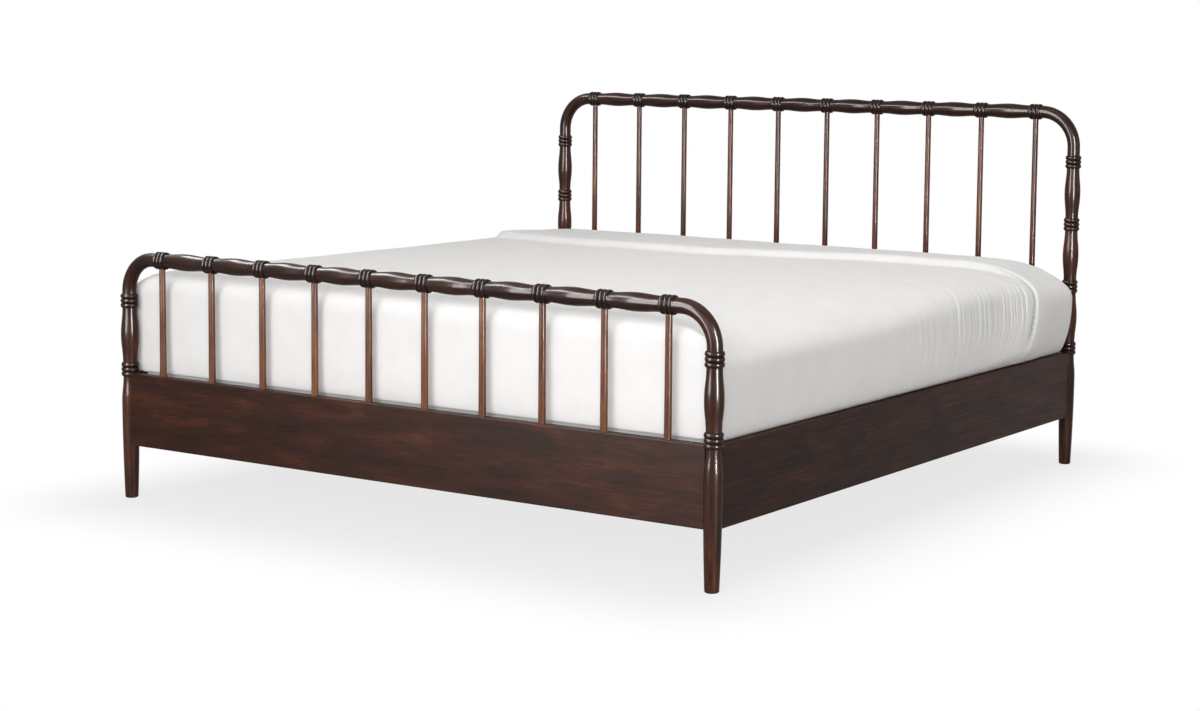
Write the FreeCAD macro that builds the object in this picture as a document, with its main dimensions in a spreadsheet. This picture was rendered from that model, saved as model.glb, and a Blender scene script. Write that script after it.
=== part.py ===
# A king-size bed of turned wood: a tall and a low spindle board, two plank side rails, a slatted
# deck on a centre beam with levelling legs, and a mattress in a fitted sheet.
# Millimetres. X runs across the bed, Y from the foot to the head, Z up, from the floor's middle.
import FreeCAD, Part
import math
import os

import Sketcher

# Driving dimensions: name, value and what it measures.
SIZES = [
    ("post_spacing_x", 1985, "post centre to post centre across the bed"),
    ("post_spacing_y", 2120, "post centre to post centre along the bed"),
    ("panel_bottom", 155, "floor to the underside of panels and side rails"),
    ("board_height", 208, "height of panels and side rails"),
    ("board_thickness", 30, "thickness of panels and side rails"),
    ("board_seat", 16, "post axis to the end of a panel or side rail housed in it"),
    ("board_edge_radius", 2.5, "rounding of the long edges of panels and side rails"),
    ("fit_gap", 0.2, "clearance round housed ends, dowels and spindle ends"),
    ("foot_radius", 18.5, "post radius just above the floor"),
    ("foot_ease", 2.5, "bevel round the foot of a post"),
    ("leg_radius", 24, "largest radius of the leg"),
    ("leg_neck_radius", 19.5, "leg radius under the first collar"),
    ("swell_drop", 74, "first collar down to the leg's largest radius"),
    ("neck_radius", 20, "radius of balusters and barrels beside a collar"),
    ("baluster_radius", 25, "largest radius of a post's baluster"),
    ("barrel_radius", 24, "largest radius of a barrel on a top rail"),
    ("bead_pitch", 13.3, "length of one of a collar's beads"),
    ("bead_count", 3, "beads in a collar"),
    ("bead_radius", 25, "radius over a bead"),
    ("groove_radius", 21.5, "radius in the groove between beads"),
    ("collar_lift", 11, "panel top to the middle of the first collar"),
    ("collar_spacing", 198, "collar to collar up a post"),
    ("head_collars", 4, "collars on a headboard post"),
    ("foot_collars", 2, "collars on a footboard post"),
    ("elbow_radius", 19.8, "radius of the bent elbow's round section"),
    ("head_bend_radius", 110, "bend of the headboard elbow, to its centre line"),
    ("head_bend_rise", 25.5, "straight part of the headboard elbow above its post"),
    ("head_bend_run", 3, "straight part of the headboard elbow beside its rail"),
    ("foot_bend_radius", 96, "bend of the footboard elbow, to its centre line"),
    ("foot_bend_rise", 6.5, "straight part of the footboard elbow above its post"),
    ("foot_bend_run", 17, "straight part of the footboard elbow beside its rail"),
    ("spindle_count", 10, "spindles in each board"),
    ("spindle_top_radius", 8.75, "spindle radius under the top rail"),
    ("spindle_bottom_radius", 9.75, "spindle radius at the panel"),
    ("spindle_socket", 17, "depth of a spindle's socket"),
    ("dowel_radius", 6, "radius of the joining dowels"),
    ("elbow_dowel_depth", 24, "dowel depth each side of an elbow joint"),
    ("board_dowel_depth", 30, "dowel depth in the end of a panel or side rail"),
    ("post_dowel_depth", 20, "dowel depth in a post"),
    ("panel_dowel_inset", 45, "edge of a panel to its dowel"),
    ("rail_dowel_inset", 75, "edge of a side rail to its dowel"),
    ("mattress_recess", 58, "side rail top down to the top of the slats"),
    ("slat_thickness", 20, "slat thickness"),
    ("slat_width", 70, "slat width"),
    ("slat_count", 14, "slats"),
    ("slat_end_gap", 5, "slat end to side rail"),
    ("slat_margin", 30, "first slat to the panel"),
    ("slat_screw_inset", 16, "slat screw to side rail"),
    ("slat_screw_length", 40, "slat screw length"),
    ("cleat_width", 25, "cleat width"),
    ("cleat_height", 30, "cleat height"),
    ("cleat_end_gap", 12, "cleat end to panel"),
    ("cleat_screw_count", 6, "screws in a cleat"),
    ("cleat_screw_margin", 90, "cleat end to its first screw"),
    ("cleat_screw_lift", 6, "underside of the cleat to its screws"),
    ("cleat_screw_length", 42, "cleat screw length"),
    ("screw_radius", 2, "radius of the wood screws"),
    ("screw_head_radius", 4, "radius of a screw's countersunk head"),
    ("screw_head_height", 2.5, "height of a screw's countersunk head"),
    ("screw_gap", 0.1, "clearance round a screw"),
    ("bracket_arm", 55, "length of a corner bracket's arms"),
    ("bracket_corner", 14, "inner corner to the bracket's slanted part"),
    ("bracket_thickness", 3, "thickness of the corner bracket"),
    ("bracket_height", 80, "height of the corner bracket"),
    ("bracket_drop", 10, "cleat down to the corner bracket"),
    ("bracket_screw_reach", 38, "inner corner to a bracket's screws"),
    ("bracket_screw_spacing", 40, "bracket screw to bracket screw, upright"),
    ("bracket_screw_length", 20, "bracket and hanger screw length"),
    ("beam_width", 45, "centre beam width"),
    ("beam_height", 65, "centre beam height"),
    ("beam_end_gap", 1, "centre beam end to panel"),
    ("hanger_thickness", 3, "thickness of the beam hanger's steel"),
    ("hanger_gap", 0.3, "beam to hanger cheek"),
    ("hanger_depth", 40, "length of beam that a hanger carries"),
    ("hanger_cheek", 45, "height of a hanger's cheeks"),
    ("hanger_flange", 26, "width of a hanger's flanges"),
    ("hanger_screw_spacing", 22, "hanger screw to hanger screw, upright"),
    ("leg_count", 3, "legs under the centre beam"),
    ("leg_spacing", 380, "centre leg to centre leg"),
    ("centre_leg_radius", 22, "centre leg radius"),
    ("leveller_height", 30, "floor to the underside of a centre leg"),
    ("bolt_radius", 4, "radius of the bolt between leg and beam"),
    ("bolt_depth", 30, "bolt depth in leg and in beam"),
    ("insert_radius", 6.5, "outer radius of the leg's threaded insert"),
    ("insert_length", 25, "length of the threaded insert"),
    ("stud_radius", 4, "radius of the leveller's stud"),
    ("stud_gap", 0.06, "running clearance round the stud"),
    ("stud_length", 46, "length of the stud"),
    ("stud_room", 16, "free depth above the stud in the leg"),
    ("stud_nut_radius", 7.5, "stud's hexagon, over its corners, halved"),
    ("stud_nut_height", 6, "height of the stud's hexagon"),
    ("pad_radius", 20, "leveller pad radius at the floor"),
    ("pad_top_radius", 14, "leveller pad radius at its top"),
    ("pad_height", 11, "leveller pad height"),
    ("pad_floor", 4, "floor to the stud's end in the pad"),
    ("soft_gap", 0.3, "clearance round the mattress"),
    ("sheet_thickness", 2, "thickness of the quilted fitted sheet"),
    ("mattress_side_gap", 6, "mattress to side rail"),
    ("mattress_end_gap", 22, "mattress to panel"),
    ("mattress_ease", 10, "rounding of the mattress's lower edge"),
    ("mattress_corner", 50, "mattress corner radius, seen from above"),
    ("side_belly", 16, "swelling of the mattress's long sides over the rails"),
    ("end_belly", 7, "swelling of the mattress's ends"),
    ("belly_rise", 172, "side rail top to the widest part of the mattress"),
    ("shoulder_rise", 115, "height of the rounding of the mattress's upper edge"),
    ("side_shoulder", 270, "width of that rounding along the sides"),
    ("end_shoulder", 90, "width of that rounding along the ends"),
    ("crown_rise", 14, "rise of the mattress's top to its middle"),
]

# Places and sizes that follow from the driving dimensions.
POST_X = "(Sizes.post_spacing_x / 2)"
POST_Y = "(Sizes.post_spacing_y / 2)"
BOARD_TOP = "(Sizes.panel_bottom + Sizes.board_height)"
INNER_X = f"({POST_X} - Sizes.board_thickness / 2)"
INNER_Y = f"({POST_Y} - Sizes.board_thickness / 2)"
COLLAR_LENGTH = "(Sizes.bead_count * Sizes.bead_pitch)"
FIRST_COLLAR = f"({BOARD_TOP} + Sizes.collar_lift)"
LEG_TOP = f"({FIRST_COLLAR} - {COLLAR_LENGTH} / 2)"
BEAD_BULGE = (
    "((Sizes.bead_pitch^2 / 4 + (Sizes.bead_radius - Sizes.groove_radius)^2)"
    " / (2 * (Sizes.bead_radius - Sizes.groove_radius)))"
)
DOWEL_BORE = "(Sizes.dowel_radius + Sizes.fit_gap / 2)"
DECK = f"({BOARD_TOP} - Sizes.mattress_recess)"
CLEAT_TOP = f"({DECK} - Sizes.slat_thickness)"
CLEAT_BOTTOM = f"({CLEAT_TOP} - Sizes.cleat_height)"
SLAT_SPAN = f"(2 * ({INNER_Y} - Sizes.slat_margin) - Sizes.slat_width)"
SLAT_SCREW_X = f"({INNER_X} - Sizes.slat_screw_inset)"
CLEAT_HALF = f"({INNER_Y} - Sizes.cleat_end_gap)"
CLEAT_SCREW_SPAN = f"(2 * ({CLEAT_HALF} - Sizes.cleat_screw_margin))"
CLEAT_SCREW_Z = f"({CLEAT_BOTTOM} + Sizes.cleat_screw_lift)"
CLEAT_FACE = f"({INNER_X} - Sizes.cleat_width)"
BRACKET_TOP = f"({CLEAT_BOTTOM} - Sizes.bracket_drop)"
BRACKET_SCREW_Z = f"({BRACKET_TOP} - Sizes.bracket_height / 2 - Sizes.bracket_screw_spacing / 2)"
BEAM_BOTTOM = f"({CLEAT_TOP} - Sizes.beam_height)"
HANGER_INSIDE = "(Sizes.beam_width / 2 + Sizes.hanger_gap)"
HANGER_OUTSIDE = f"({HANGER_INSIDE} + Sizes.hanger_thickness)"
HANGER_SCREW_X = f"({HANGER_OUTSIDE} + Sizes.hanger_flange / 2)"
HANGER_SCREW_Z = f"({BEAM_BOTTOM} + Sizes.hanger_cheek / 2 - Sizes.hanger_screw_spacing / 2)"
FIRST_LEG = "(-(Sizes.leg_count - 1) / 2 * Sizes.leg_spacing)"
LEG_ROW = [("Y", "(Sizes.leg_count - 1) * Sizes.leg_spacing", "Sizes.leg_count")]
STUD_BORE = "(Sizes.stud_radius + Sizes.stud_gap)"
MATTRESS_BOTTOM = f"({DECK} + Sizes.soft_gap)"

HEAD = {"name": "headboard", "side": 1, "collars": "Sizes.head_collars", "bend": "Sizes.head_bend"}
FOOT = {"name": "footboard", "side": -1, "collars": "Sizes.foot_collars", "bend": "Sizes.foot_bend"}
SIDES = {"left": -1, "right": 1}

UP = FreeCAD.Rotation()
DOWN = FreeCAD.Rotation(FreeCAD.Vector(1, 0, 0), 180)
TO_RIGHT = FreeCAD.Rotation(FreeCAD.Vector(0, 1, 0), 90)
TO_LEFT = FreeCAD.Rotation(FreeCAD.Vector(0, 1, 0), -90)
TO_HEAD = FreeCAD.Rotation(FreeCAD.Vector(1, 0, 0), -90)
TO_FOOT = FreeCAD.Rotation(FreeCAD.Vector(1, 0, 0), 90)

doc = FreeCAD.newDocument("SpindleBed")
sheet = doc.addObject("Spreadsheet::Sheet", "Sizes")
for row, (alias, size, meaning) in enumerate(SIZES, start=1):
    sheet.set(f"A{row}", meaning)
    sheet.set(f"B{row}", str(size))
    sheet.setAlias(f"B{row}", alias)
doc.recompute()


def value_of(expression):
    """The number that an expression of the sheet's cells gives."""
    return float(sheet.evalExpression(expression))


def count_of(expression):
    return int(round(value_of(expression)))


def post_top(board):
    """Height of a post's end, at the top of its last collar."""
    return f"({FIRST_COLLAR} + ({board['collars']} - 1) * Sizes.collar_spacing + {COLLAR_LENGTH} / 2)"


def rail_height(board):
    """Height of a top rail's axis, one elbow above the posts."""
    return f"({post_top(board)} + {board['bend']}_rise + {board['bend']}_radius)"


def rail_end(board):
    """Half the length of a top rail, between its elbows."""
    return f"({POST_X} - {board['bend']}_radius - {board['bend']}_run)"


def first_spindle(board):
    """Distance from the middle to the outermost spindle, under the rail's last collar."""
    return f"({rail_end(board)} - {COLLAR_LENGTH} / 2)"


def board_y(board):
    return f"({board['side']} * {POST_Y})"


# Document helpers.
def new_body(label):
    body = doc.addObject("PartDesign::Body", label)
    body.Label = label
    return body


def origin(body, role):
    """One of the body's own origin planes or axes."""
    return next(feature for feature in body.Origin.OriginFeatures if feature.Role == role)


def put(item, x="0", y="0", z="0", turn=UP):
    """Place a feature or body by expressions."""
    item.Placement = FreeCAD.Placement(FreeCAD.Vector(), turn)
    for axis, expression in (("x", x), ("y", y), ("z", z)):
        if expression != "0":
            item.setExpression(f"Placement.Base.{axis}", expression)
    return item


def block(body, kind, length, width, height, x, y, z):
    """An additive or subtractive box whose lowest corner is at x, y, z."""
    box = body.newObject(f"PartDesign::{kind}Box", "Block")
    box.setExpression("Length", length)
    box.setExpression("Width", width)
    box.setExpression("Height", height)
    return put(box, x, y, z)


def rod(body, kind, radius, length, x="0", y="0", z="0", turn=UP):
    """An additive or subtractive cylinder that starts at x, y, z and runs along turn."""
    cylinder = body.newObject(f"PartDesign::{kind}Cylinder", "Rod")
    cylinder.setExpression("Radius", radius)
    cylinder.setExpression("Height", length)
    return put(cylinder, x, y, z, turn)


def cone(body, kind, start_radius, end_radius, length, x="0", y="0", z="0", turn=UP):
    piece = body.newObject(f"PartDesign::{kind}Cone", "Cone")
    piece.setExpression("Radius1", start_radius)
    piece.setExpression("Radius2", end_radius)
    piece.setExpression("Height", length)
    return put(piece, x, y, z, turn)


def repeat(body, feature, rows=(), mirrors=()):
    """Repeat the feature just made by rows of (axis, span, count), then over planes such as YZ."""
    if not rows and not mirrors:
        return
    doc.recompute()
    transform = body.newObject("PartDesign::MultiTransform", "Repeat")
    steps = []
    for axis, span, count in rows:
        pattern = body.newObject("PartDesign::LinearPattern", "Row")
        pattern.Direction = (origin(body, f"{axis}_Axis"), [""])
        pattern.setExpression("Length", span)
        pattern.setExpression("Occurrences", count)
        steps.append(pattern)
    for plane in mirrors:
        mirror = body.newObject("PartDesign::Mirrored", "Mirror")
        mirror.MirrorPlane = (origin(body, f"{plane}_Plane"), [""])
        steps.append(mirror)
    transform.Originals = [feature]
    transform.Transformations = steps
    body.Tip = transform


def screws(body, length, x, y, z, turn, rows=(), mirrors=()):
    """Countersunk screws: x, y, z is the middle of the first head's face, turn points to its tip."""
    head = cone(
        body, "Additive", "Sizes.screw_head_radius", "Sizes.screw_radius", "Sizes.screw_head_height",
        x, y, z, turn,
    )
    repeat(body, head, rows, mirrors)
    shank = rod(body, "Additive", "Sizes.screw_radius", length, x, y, z, turn)
    repeat(body, shank, rows, mirrors)


def screw_holes(body, length, x, y, z, turn, rows=(), mirrors=()):
    """Holes for screws, countersunk where their heads lie."""
    head = cone(
        body, "Subtractive", "Sizes.screw_head_radius + Sizes.screw_gap",
        "Sizes.screw_radius + Sizes.screw_gap", "Sizes.screw_head_height + Sizes.screw_gap",
        x, y, z, turn,
    )
    repeat(body, head, rows, mirrors)
    shank_holes(body, length, x, y, z, turn, rows, mirrors)


def shank_holes(body, length, x, y, z, turn, rows=(), mirrors=()):
    """Plain holes for the part of a screw below its head."""
    shank = rod(
        body, "Subtractive", "Sizes.screw_radius + Sizes.screw_gap", f"{length} + Sizes.screw_gap",
        x, y, z, turn,
    )
    repeat(body, shank, rows, mirrors)


def new_sketch(body, plane, offset=None):
    """A sketch on one of the body's origin planes, raised along its normal by an offset."""
    sketch = body.newObject("Sketcher::SketchObject", "Sketch")
    sketch.AttachmentSupport = [(origin(body, f"{plane}_Plane"), "")]
    sketch.MapMode = "FlatFace"
    if offset is not None:
        sketch.setExpression("AttachmentOffset.Base.z", offset)
    return sketch


def pin_down(sketch, kind, axis, geometry, end, expression):
    """Hold one coordinate of a corner at an expression of the sheet's cells."""
    size = value_of(expression)
    if abs(size) < 1e-9:
        sketch.addConstraint(Sketcher.Constraint("PointOnObject", geometry, end, axis))
        return
    if size > 0:
        index = sketch.addConstraint(Sketcher.Constraint(kind, -1, 1, geometry, end, size))
        sketch.setExpression(f"Constraints[{index}]", expression)
    else:
        index = sketch.addConstraint(Sketcher.Constraint(kind, geometry, end, -1, 1, -size))
        sketch.setExpression(f"Constraints[{index}]", f"-({expression})")


def arc_between(start, end, radius, turn):
    """The shorter arc of a radius from start to end, turning left (1) or right (-1)."""
    chord = end - start
    left = FreeCAD.Vector(-chord.y, chord.x, 0).normalize()
    centre = (start + end) * 0.5 + left * (turn * math.sqrt(radius**2 - (chord.Length / 2) ** 2))
    first, last = (start, end) if turn > 0 else (end, start)
    from_angle = math.atan2(first.y - centre.y, first.x - centre.x)
    to_angle = math.atan2(last.y - centre.y, last.x - centre.x)
    if to_angle < from_angle:
        to_angle += 2 * math.pi
    circle = Part.Circle(centre, FreeCAD.Vector(0, 0, 1), radius)
    return Part.ArcOfCircle(circle, from_angle, to_angle)


def draw(sketch, corners, closed=True):
    """Lines and arcs through corners, each (across, up) or (across, up, radius, turn).

    A radius and a turn make the edge that leaves the corner an arc, to the left (1) or right (-1).
    """
    points = [FreeCAD.Vector(value_of(corner[0]), value_of(corner[1]), 0) for corner in corners]
    edge_count = len(corners) if closed else len(corners) - 1
    starts = []
    ends = []
    for i in range(edge_count):
        corner, start, end = corners[i], points[i], points[(i + 1) % len(points)]
        if len(corner) == 2:
            geometry = sketch.addGeometry(Part.LineSegment(start, end), False)
            turn = 1
        else:
            turn = corner[3]
            geometry = sketch.addGeometry(arc_between(start, end, value_of(corner[2]), turn), False)
        starts.append((geometry, 1 if turn > 0 else 2))
        ends.append((geometry, 2 if turn > 0 else 1))
    for i in range(edge_count if closed else edge_count - 1):
        joint = (*ends[i], *starts[(i + 1) % edge_count])
        sketch.addConstraint(Sketcher.Constraint("Coincident", *joint))
    vertices = starts if closed else starts + [ends[-1]]
    for corner, (geometry, end) in zip(corners, vertices):
        pin_down(sketch, "DistanceX", -2, geometry, end, corner[0])
        pin_down(sketch, "DistanceY", -1, geometry, end, corner[1])
    for i in range(edge_count):
        if len(corners[i]) > 2:
            geometry = starts[i][0]
            radius = Sketcher.Constraint("Radius", geometry, value_of(corners[i][2]))
            index = sketch.addConstraint(radius)
            sketch.setExpression(f"Constraints[{index}]", corners[i][2])
    return sketch


def turned(body, corners, axis="Z"):
    """Revolve a profile of (radius, distance along the axis) corners about Z or X."""
    if axis == "Z":
        sketch = draw(new_sketch(body, "XZ"), corners)
        line = "V_Axis"
    else:
        swapped = [(c[1], c[0], c[2], -c[3]) if len(c) > 2 else (c[1], c[0]) for c in corners]
        sketch = draw(new_sketch(body, "XY"), swapped)
        line = "H_Axis"
    revolution = body.newObject("PartDesign::Revolution", "Turning")
    revolution.Profile = sketch
    revolution.ReferenceAxis = (sketch, [line])
    revolution.Angle = 360
    body.Tip = revolution
    return revolution


def collar_corners(start):
    """Profile of a collar: beads with a groove between each two."""
    beads = [
        ("Sizes.groove_radius", f"{start} + {i} * Sizes.bead_pitch", BEAD_BULGE, 1)
        for i in range(count_of("Sizes.bead_count"))
    ]
    top = f"{start} + {COLLAR_LENGTH}"
    return [("0", start), *beads, ("Sizes.groove_radius", top), ("0", top)]


def swelling_corners(start, end, neck, widest):
    """Profile that swells from a neck to its middle and back, hollow beside the necks."""
    half = f"(({end} - ({start})) / 2)"
    rise = f"({widest} - {neck})"
    bend = f"(({half}^2 + {rise}^2) / (4 * {rise}))"
    middle = f"(({neck} + {widest}) / 2)"
    return [
        ("0", start),
        (neck, start, bend, -1),
        (middle, f"{start} + {half} / 2", bend, 1),
        (middle, f"{end} - {half} / 2", bend, -1),
        (neck, end),
        ("0", end),
    ]


def leg_corners():
    """Profile of a post below its first collar: a foot that swells, then a neck."""
    widest_z = f"({LEG_TOP} - Sizes.swell_drop)"
    taper = f"({widest_z} - Sizes.foot_ease)"
    gain = "(Sizes.leg_radius - Sizes.foot_radius)"
    foot_bend = f"(({taper}^2 + {gain}^2) / (2 * {gain}))"
    drop = "(Sizes.leg_radius - Sizes.leg_neck_radius)"
    neck_bend = f"((Sizes.swell_drop^2 + {drop}^2) / (4 * {drop}))"
    return [
        ("0", "0"),
        ("Sizes.foot_radius - Sizes.foot_ease", "0"),
        ("Sizes.foot_radius", "Sizes.foot_ease", foot_bend, 1),
        ("Sizes.leg_radius", widest_z, neck_bend, 1),
        ("(Sizes.leg_radius + Sizes.leg_neck_radius) / 2", f"{LEG_TOP} - Sizes.swell_drop / 2", neck_bend, -1),
        ("Sizes.leg_neck_radius", LEG_TOP),
        ("0", LEG_TOP),
    ]


# Sub-parts of the two boards.
def make_post(board, side):
    """A turned post with housings and dowel holes for its panel and side rail."""
    body = new_body(f"{board['name']}_post_{side}")
    inward_x = -SIDES[side]
    inward_y = -board["side"]
    turned(body, leg_corners())
    collar = turned(body, collar_corners(LEG_TOP))
    repeat(body, collar, [("Z", f"({board['collars']} - 1) * Sizes.collar_spacing", board["collars"])])
    baluster_end = f"({LEG_TOP} + Sizes.collar_spacing)"
    baluster = turned(
        body,
        swelling_corners(
            f"({LEG_TOP} + {COLLAR_LENGTH})", baluster_end, "Sizes.neck_radius", "Sizes.baluster_radius"
        ),
    )
    if count_of(board["collars"]) > 2:
        span = f"({board['collars']} - 2) * Sizes.collar_spacing"
        repeat(body, baluster, [("Z", span, f"{board['collars']} - 1")])
    slot = "(Sizes.board_thickness + 2 * Sizes.fit_gap)"
    reach = "(Sizes.bead_radius + Sizes.leg_radius)"
    tall = "(Sizes.board_height + 2 * Sizes.fit_gap)"
    low = "Sizes.panel_bottom - Sizes.fit_gap"
    start_x = "Sizes.board_seat" if inward_x > 0 else f"-Sizes.board_seat - {reach}"
    start_y = "Sizes.board_seat" if inward_y > 0 else f"-Sizes.board_seat - {reach}"
    block(body, "Subtractive", reach, slot, tall, start_x, f"-{slot} / 2", low)
    block(body, "Subtractive", slot, reach, tall, f"-{slot} / 2", start_y, low)
    depth = "Sizes.post_dowel_depth + Sizes.fit_gap"
    for lift in ("Sizes.panel_dowel_inset", "Sizes.board_height - Sizes.panel_dowel_inset"):
        rod(
            body, "Subtractive", DOWEL_BORE, depth, f"{inward_x} * Sizes.board_seat", "0",
            f"Sizes.panel_bottom + {lift}", TO_LEFT if inward_x > 0 else TO_RIGHT,
        )
    for lift in ("Sizes.rail_dowel_inset", "Sizes.board_height - Sizes.rail_dowel_inset"):
        rod(
            body, "Subtractive", DOWEL_BORE, depth, "0", f"{inward_y} * Sizes.board_seat",
            f"Sizes.panel_bottom + {lift}", TO_FOOT if inward_y > 0 else TO_HEAD,
        )
    rod(
        body, "Subtractive", DOWEL_BORE, "Sizes.elbow_dowel_depth + Sizes.fit_gap", "0", "0",
        post_top(board), DOWN,
    )
    return put(body, f"{SIDES[side]} * {POST_X}", board_y(board))


def make_elbow(board, side):
    """A bent round elbow from the top of a post to the end of the top rail."""
    body = new_body(f"{board['name']}_elbow_{side}")
    inward = -SIDES[side]
    bend, foot = board["bend"], post_top(board)
    axis_z = rail_height(board)
    run = f"({bend}_radius + {bend}_run)"
    spine = new_sketch(body, "XZ")
    draw(
        spine,
        [
            ("0", foot),
            ("0", f"{foot} + {bend}_rise", f"{bend}_radius", -inward),
            (f"{inward} * {bend}_radius", axis_z),
            (f"{inward} * {run}", axis_z),
        ],
        closed=False,
    )
    section = new_sketch(body, "XY", foot)
    circle = Part.Circle(FreeCAD.Vector(), FreeCAD.Vector(0, 0, 1), value_of("Sizes.elbow_radius"))
    section.addGeometry(circle, False)
    section.addConstraint(Sketcher.Constraint("Coincident", 0, 3, -1, 1))
    index = section.addConstraint(Sketcher.Constraint("Radius", 0, value_of("Sizes.elbow_radius")))
    section.setExpression(f"Constraints[{index}]", "Sizes.elbow_radius")
    pipe = body.newObject("PartDesign::AdditivePipe", "Bend")
    pipe.Profile = section
    pipe.Spine = (spine, ["Edge1", "Edge2", "Edge3"])
    depth = "Sizes.elbow_dowel_depth + Sizes.fit_gap"
    rod(body, "Subtractive", DOWEL_BORE, depth, "0", "0", foot, UP)
    rod(
        body, "Subtractive", DOWEL_BORE, depth, f"{inward} * {run}", "0", axis_z,
        TO_LEFT if inward > 0 else TO_RIGHT,
    )
    return put(body, f"{SIDES[side]} * {POST_X}", board_y(board))


def make_top_rail(board):
    """The turned top rail: a collar over each spindle and a barrel between collars."""
    body = new_body(f"{board['name']}_top_rail")
    span = f"(2 * {first_spindle(board)})"
    pitch = f"({span} / (Sizes.spindle_count - 1))"
    start = f"(-{rail_end(board)})"
    collar = turned(body, collar_corners(start), "X")
    repeat(body, collar, [("X", span, "Sizes.spindle_count")])
    barrel = turned(
        body,
        swelling_corners(
            f"({start} + {COLLAR_LENGTH})", f"({start} + {pitch})", "Sizes.neck_radius", "Sizes.barrel_radius"
        ),
        "X",
    )
    repeat(body, barrel, [("X", f"{span} - {pitch}", "Sizes.spindle_count - 1")])
    socket = rod(
        body, "Subtractive", "Sizes.spindle_top_radius + Sizes.fit_gap / 2",
        "2 * Sizes.spindle_socket + Sizes.fit_gap", f"-{first_spindle(board)}", "0",
        "-Sizes.bead_radius - Sizes.spindle_socket", UP,
    )
    repeat(body, socket, [("X", span, "Sizes.spindle_count")])
    depth = "Sizes.elbow_dowel_depth + Sizes.fit_gap"
    rod(body, "Subtractive", DOWEL_BORE, depth, f"-{rail_end(board)}", "0", "0", TO_RIGHT)
    rod(body, "Subtractive", DOWEL_BORE, depth, rail_end(board), "0", "0", TO_LEFT)
    return put(body, "0", board_y(board), rail_height(board))


def make_spindle(board, number):
    """A slim tapered spindle, let into the panel below and the rail's collar above."""
    body = new_body(f"{board['name']}_spindle_{number + 1:02d}")
    shoulder = f"({rail_height(board)} - Sizes.bead_radius)"
    turned(
        body,
        [
            ("0", f"{BOARD_TOP} - Sizes.spindle_socket"),
            ("Sizes.spindle_bottom_radius", f"{BOARD_TOP} - Sizes.spindle_socket"),
            ("Sizes.spindle_bottom_radius", BOARD_TOP),
            ("Sizes.spindle_top_radius", shoulder),
            ("Sizes.spindle_top_radius", f"{shoulder} + Sizes.spindle_socket"),
            ("0", f"{shoulder} + Sizes.spindle_socket"),
        ],
    )
    place = f"({number} / (Sizes.spindle_count - 1) * 2 - 1) * {first_spindle(board)}"
    return put(body, place, board_y(board))


def round_edges(body, plank, axis):
    """Round the four edges of a plank that run along an axis."""
    doc.recompute()
    along = {"X": FreeCAD.Vector(1, 0, 0), "Y": FreeCAD.Vector(0, 1, 0)}[axis]
    names = []
    for index, edge in enumerate(plank.Shape.Edges, start=1):
        direction = edge.Vertexes[-1].Point - edge.Vertexes[0].Point
        if direction.normalize().isEqual(along, 1e-6) or direction.isEqual(-along, 1e-6):
            names.append(f"Edge{index}")
    fillet = body.newObject("PartDesign::Fillet", "Edges")
    fillet.Base = (plank, names)
    fillet.setExpression("Radius", "Sizes.board_edge_radius")
    body.Tip = fillet


def make_panel(board):
    """The wide plank at the bottom of a board, with sockets for spindles and holes for its fixings."""
    body = new_body(f"{board['name']}_panel")
    half = f"({POST_X} - Sizes.board_seat)"
    plank = block(
        body, "Additive", f"2 * {half}", "Sizes.board_thickness", "Sizes.board_height",
        f"-{half}", "-Sizes.board_thickness / 2", "Sizes.panel_bottom",
    )
    round_edges(body, plank, "X")
    socket = rod(
        body, "Subtractive", "Sizes.spindle_bottom_radius + Sizes.fit_gap / 2",
        "2 * Sizes.spindle_socket + Sizes.fit_gap", f"-{first_spindle(board)}", "0",
        f"{BOARD_TOP} + Sizes.spindle_socket", DOWN,
    )
    repeat(body, socket, [("X", f"2 * {first_spindle(board)}", "Sizes.spindle_count")])
    dowel = rod(
        body, "Subtractive", DOWEL_BORE, "Sizes.board_dowel_depth + Sizes.fit_gap", half, "0",
        "Sizes.panel_bottom + Sizes.panel_dowel_inset", TO_LEFT,
    )
    repeat(body, dowel, [("Z", "Sizes.board_height - 2 * Sizes.panel_dowel_inset", "2")], ["YZ"])
    inward = -board["side"]
    outward = TO_FOOT if inward > 0 else TO_HEAD
    screw_holes(
        body, "Sizes.bracket_screw_length", f"{INNER_X} - Sizes.bracket_screw_reach",
        f"{inward} * (Sizes.board_thickness / 2 + Sizes.bracket_thickness)", BRACKET_SCREW_Z, outward,
        [("Z", "Sizes.bracket_screw_spacing", "2")], ["YZ"],
    )
    screw_holes(
        body, "Sizes.bracket_screw_length", HANGER_SCREW_X,
        f"{inward} * (Sizes.board_thickness / 2 + Sizes.hanger_thickness)", HANGER_SCREW_Z, outward,
        [("Z", "Sizes.hanger_screw_spacing", "2")], ["YZ"],
    )
    return put(body, "0", board_y(board))


def make_elbow_dowels():
    """The dowels between elbows, posts and top rails."""
    body = new_body("elbow_dowels")
    length = "2 * Sizes.elbow_dowel_depth"
    for board in (HEAD, FOOT):
        upright = rod(
            body, "Additive", "Sizes.dowel_radius", length, POST_X, board_y(board),
            f"{post_top(board)} - Sizes.elbow_dowel_depth", UP,
        )
        repeat(body, upright, mirrors=["YZ"])
        level = rod(
            body, "Additive", "Sizes.dowel_radius", length,
            f"{rail_end(board)} - Sizes.elbow_dowel_depth", board_y(board), rail_height(board), TO_RIGHT,
        )
        repeat(body, level, mirrors=["YZ"])
    return body


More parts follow.
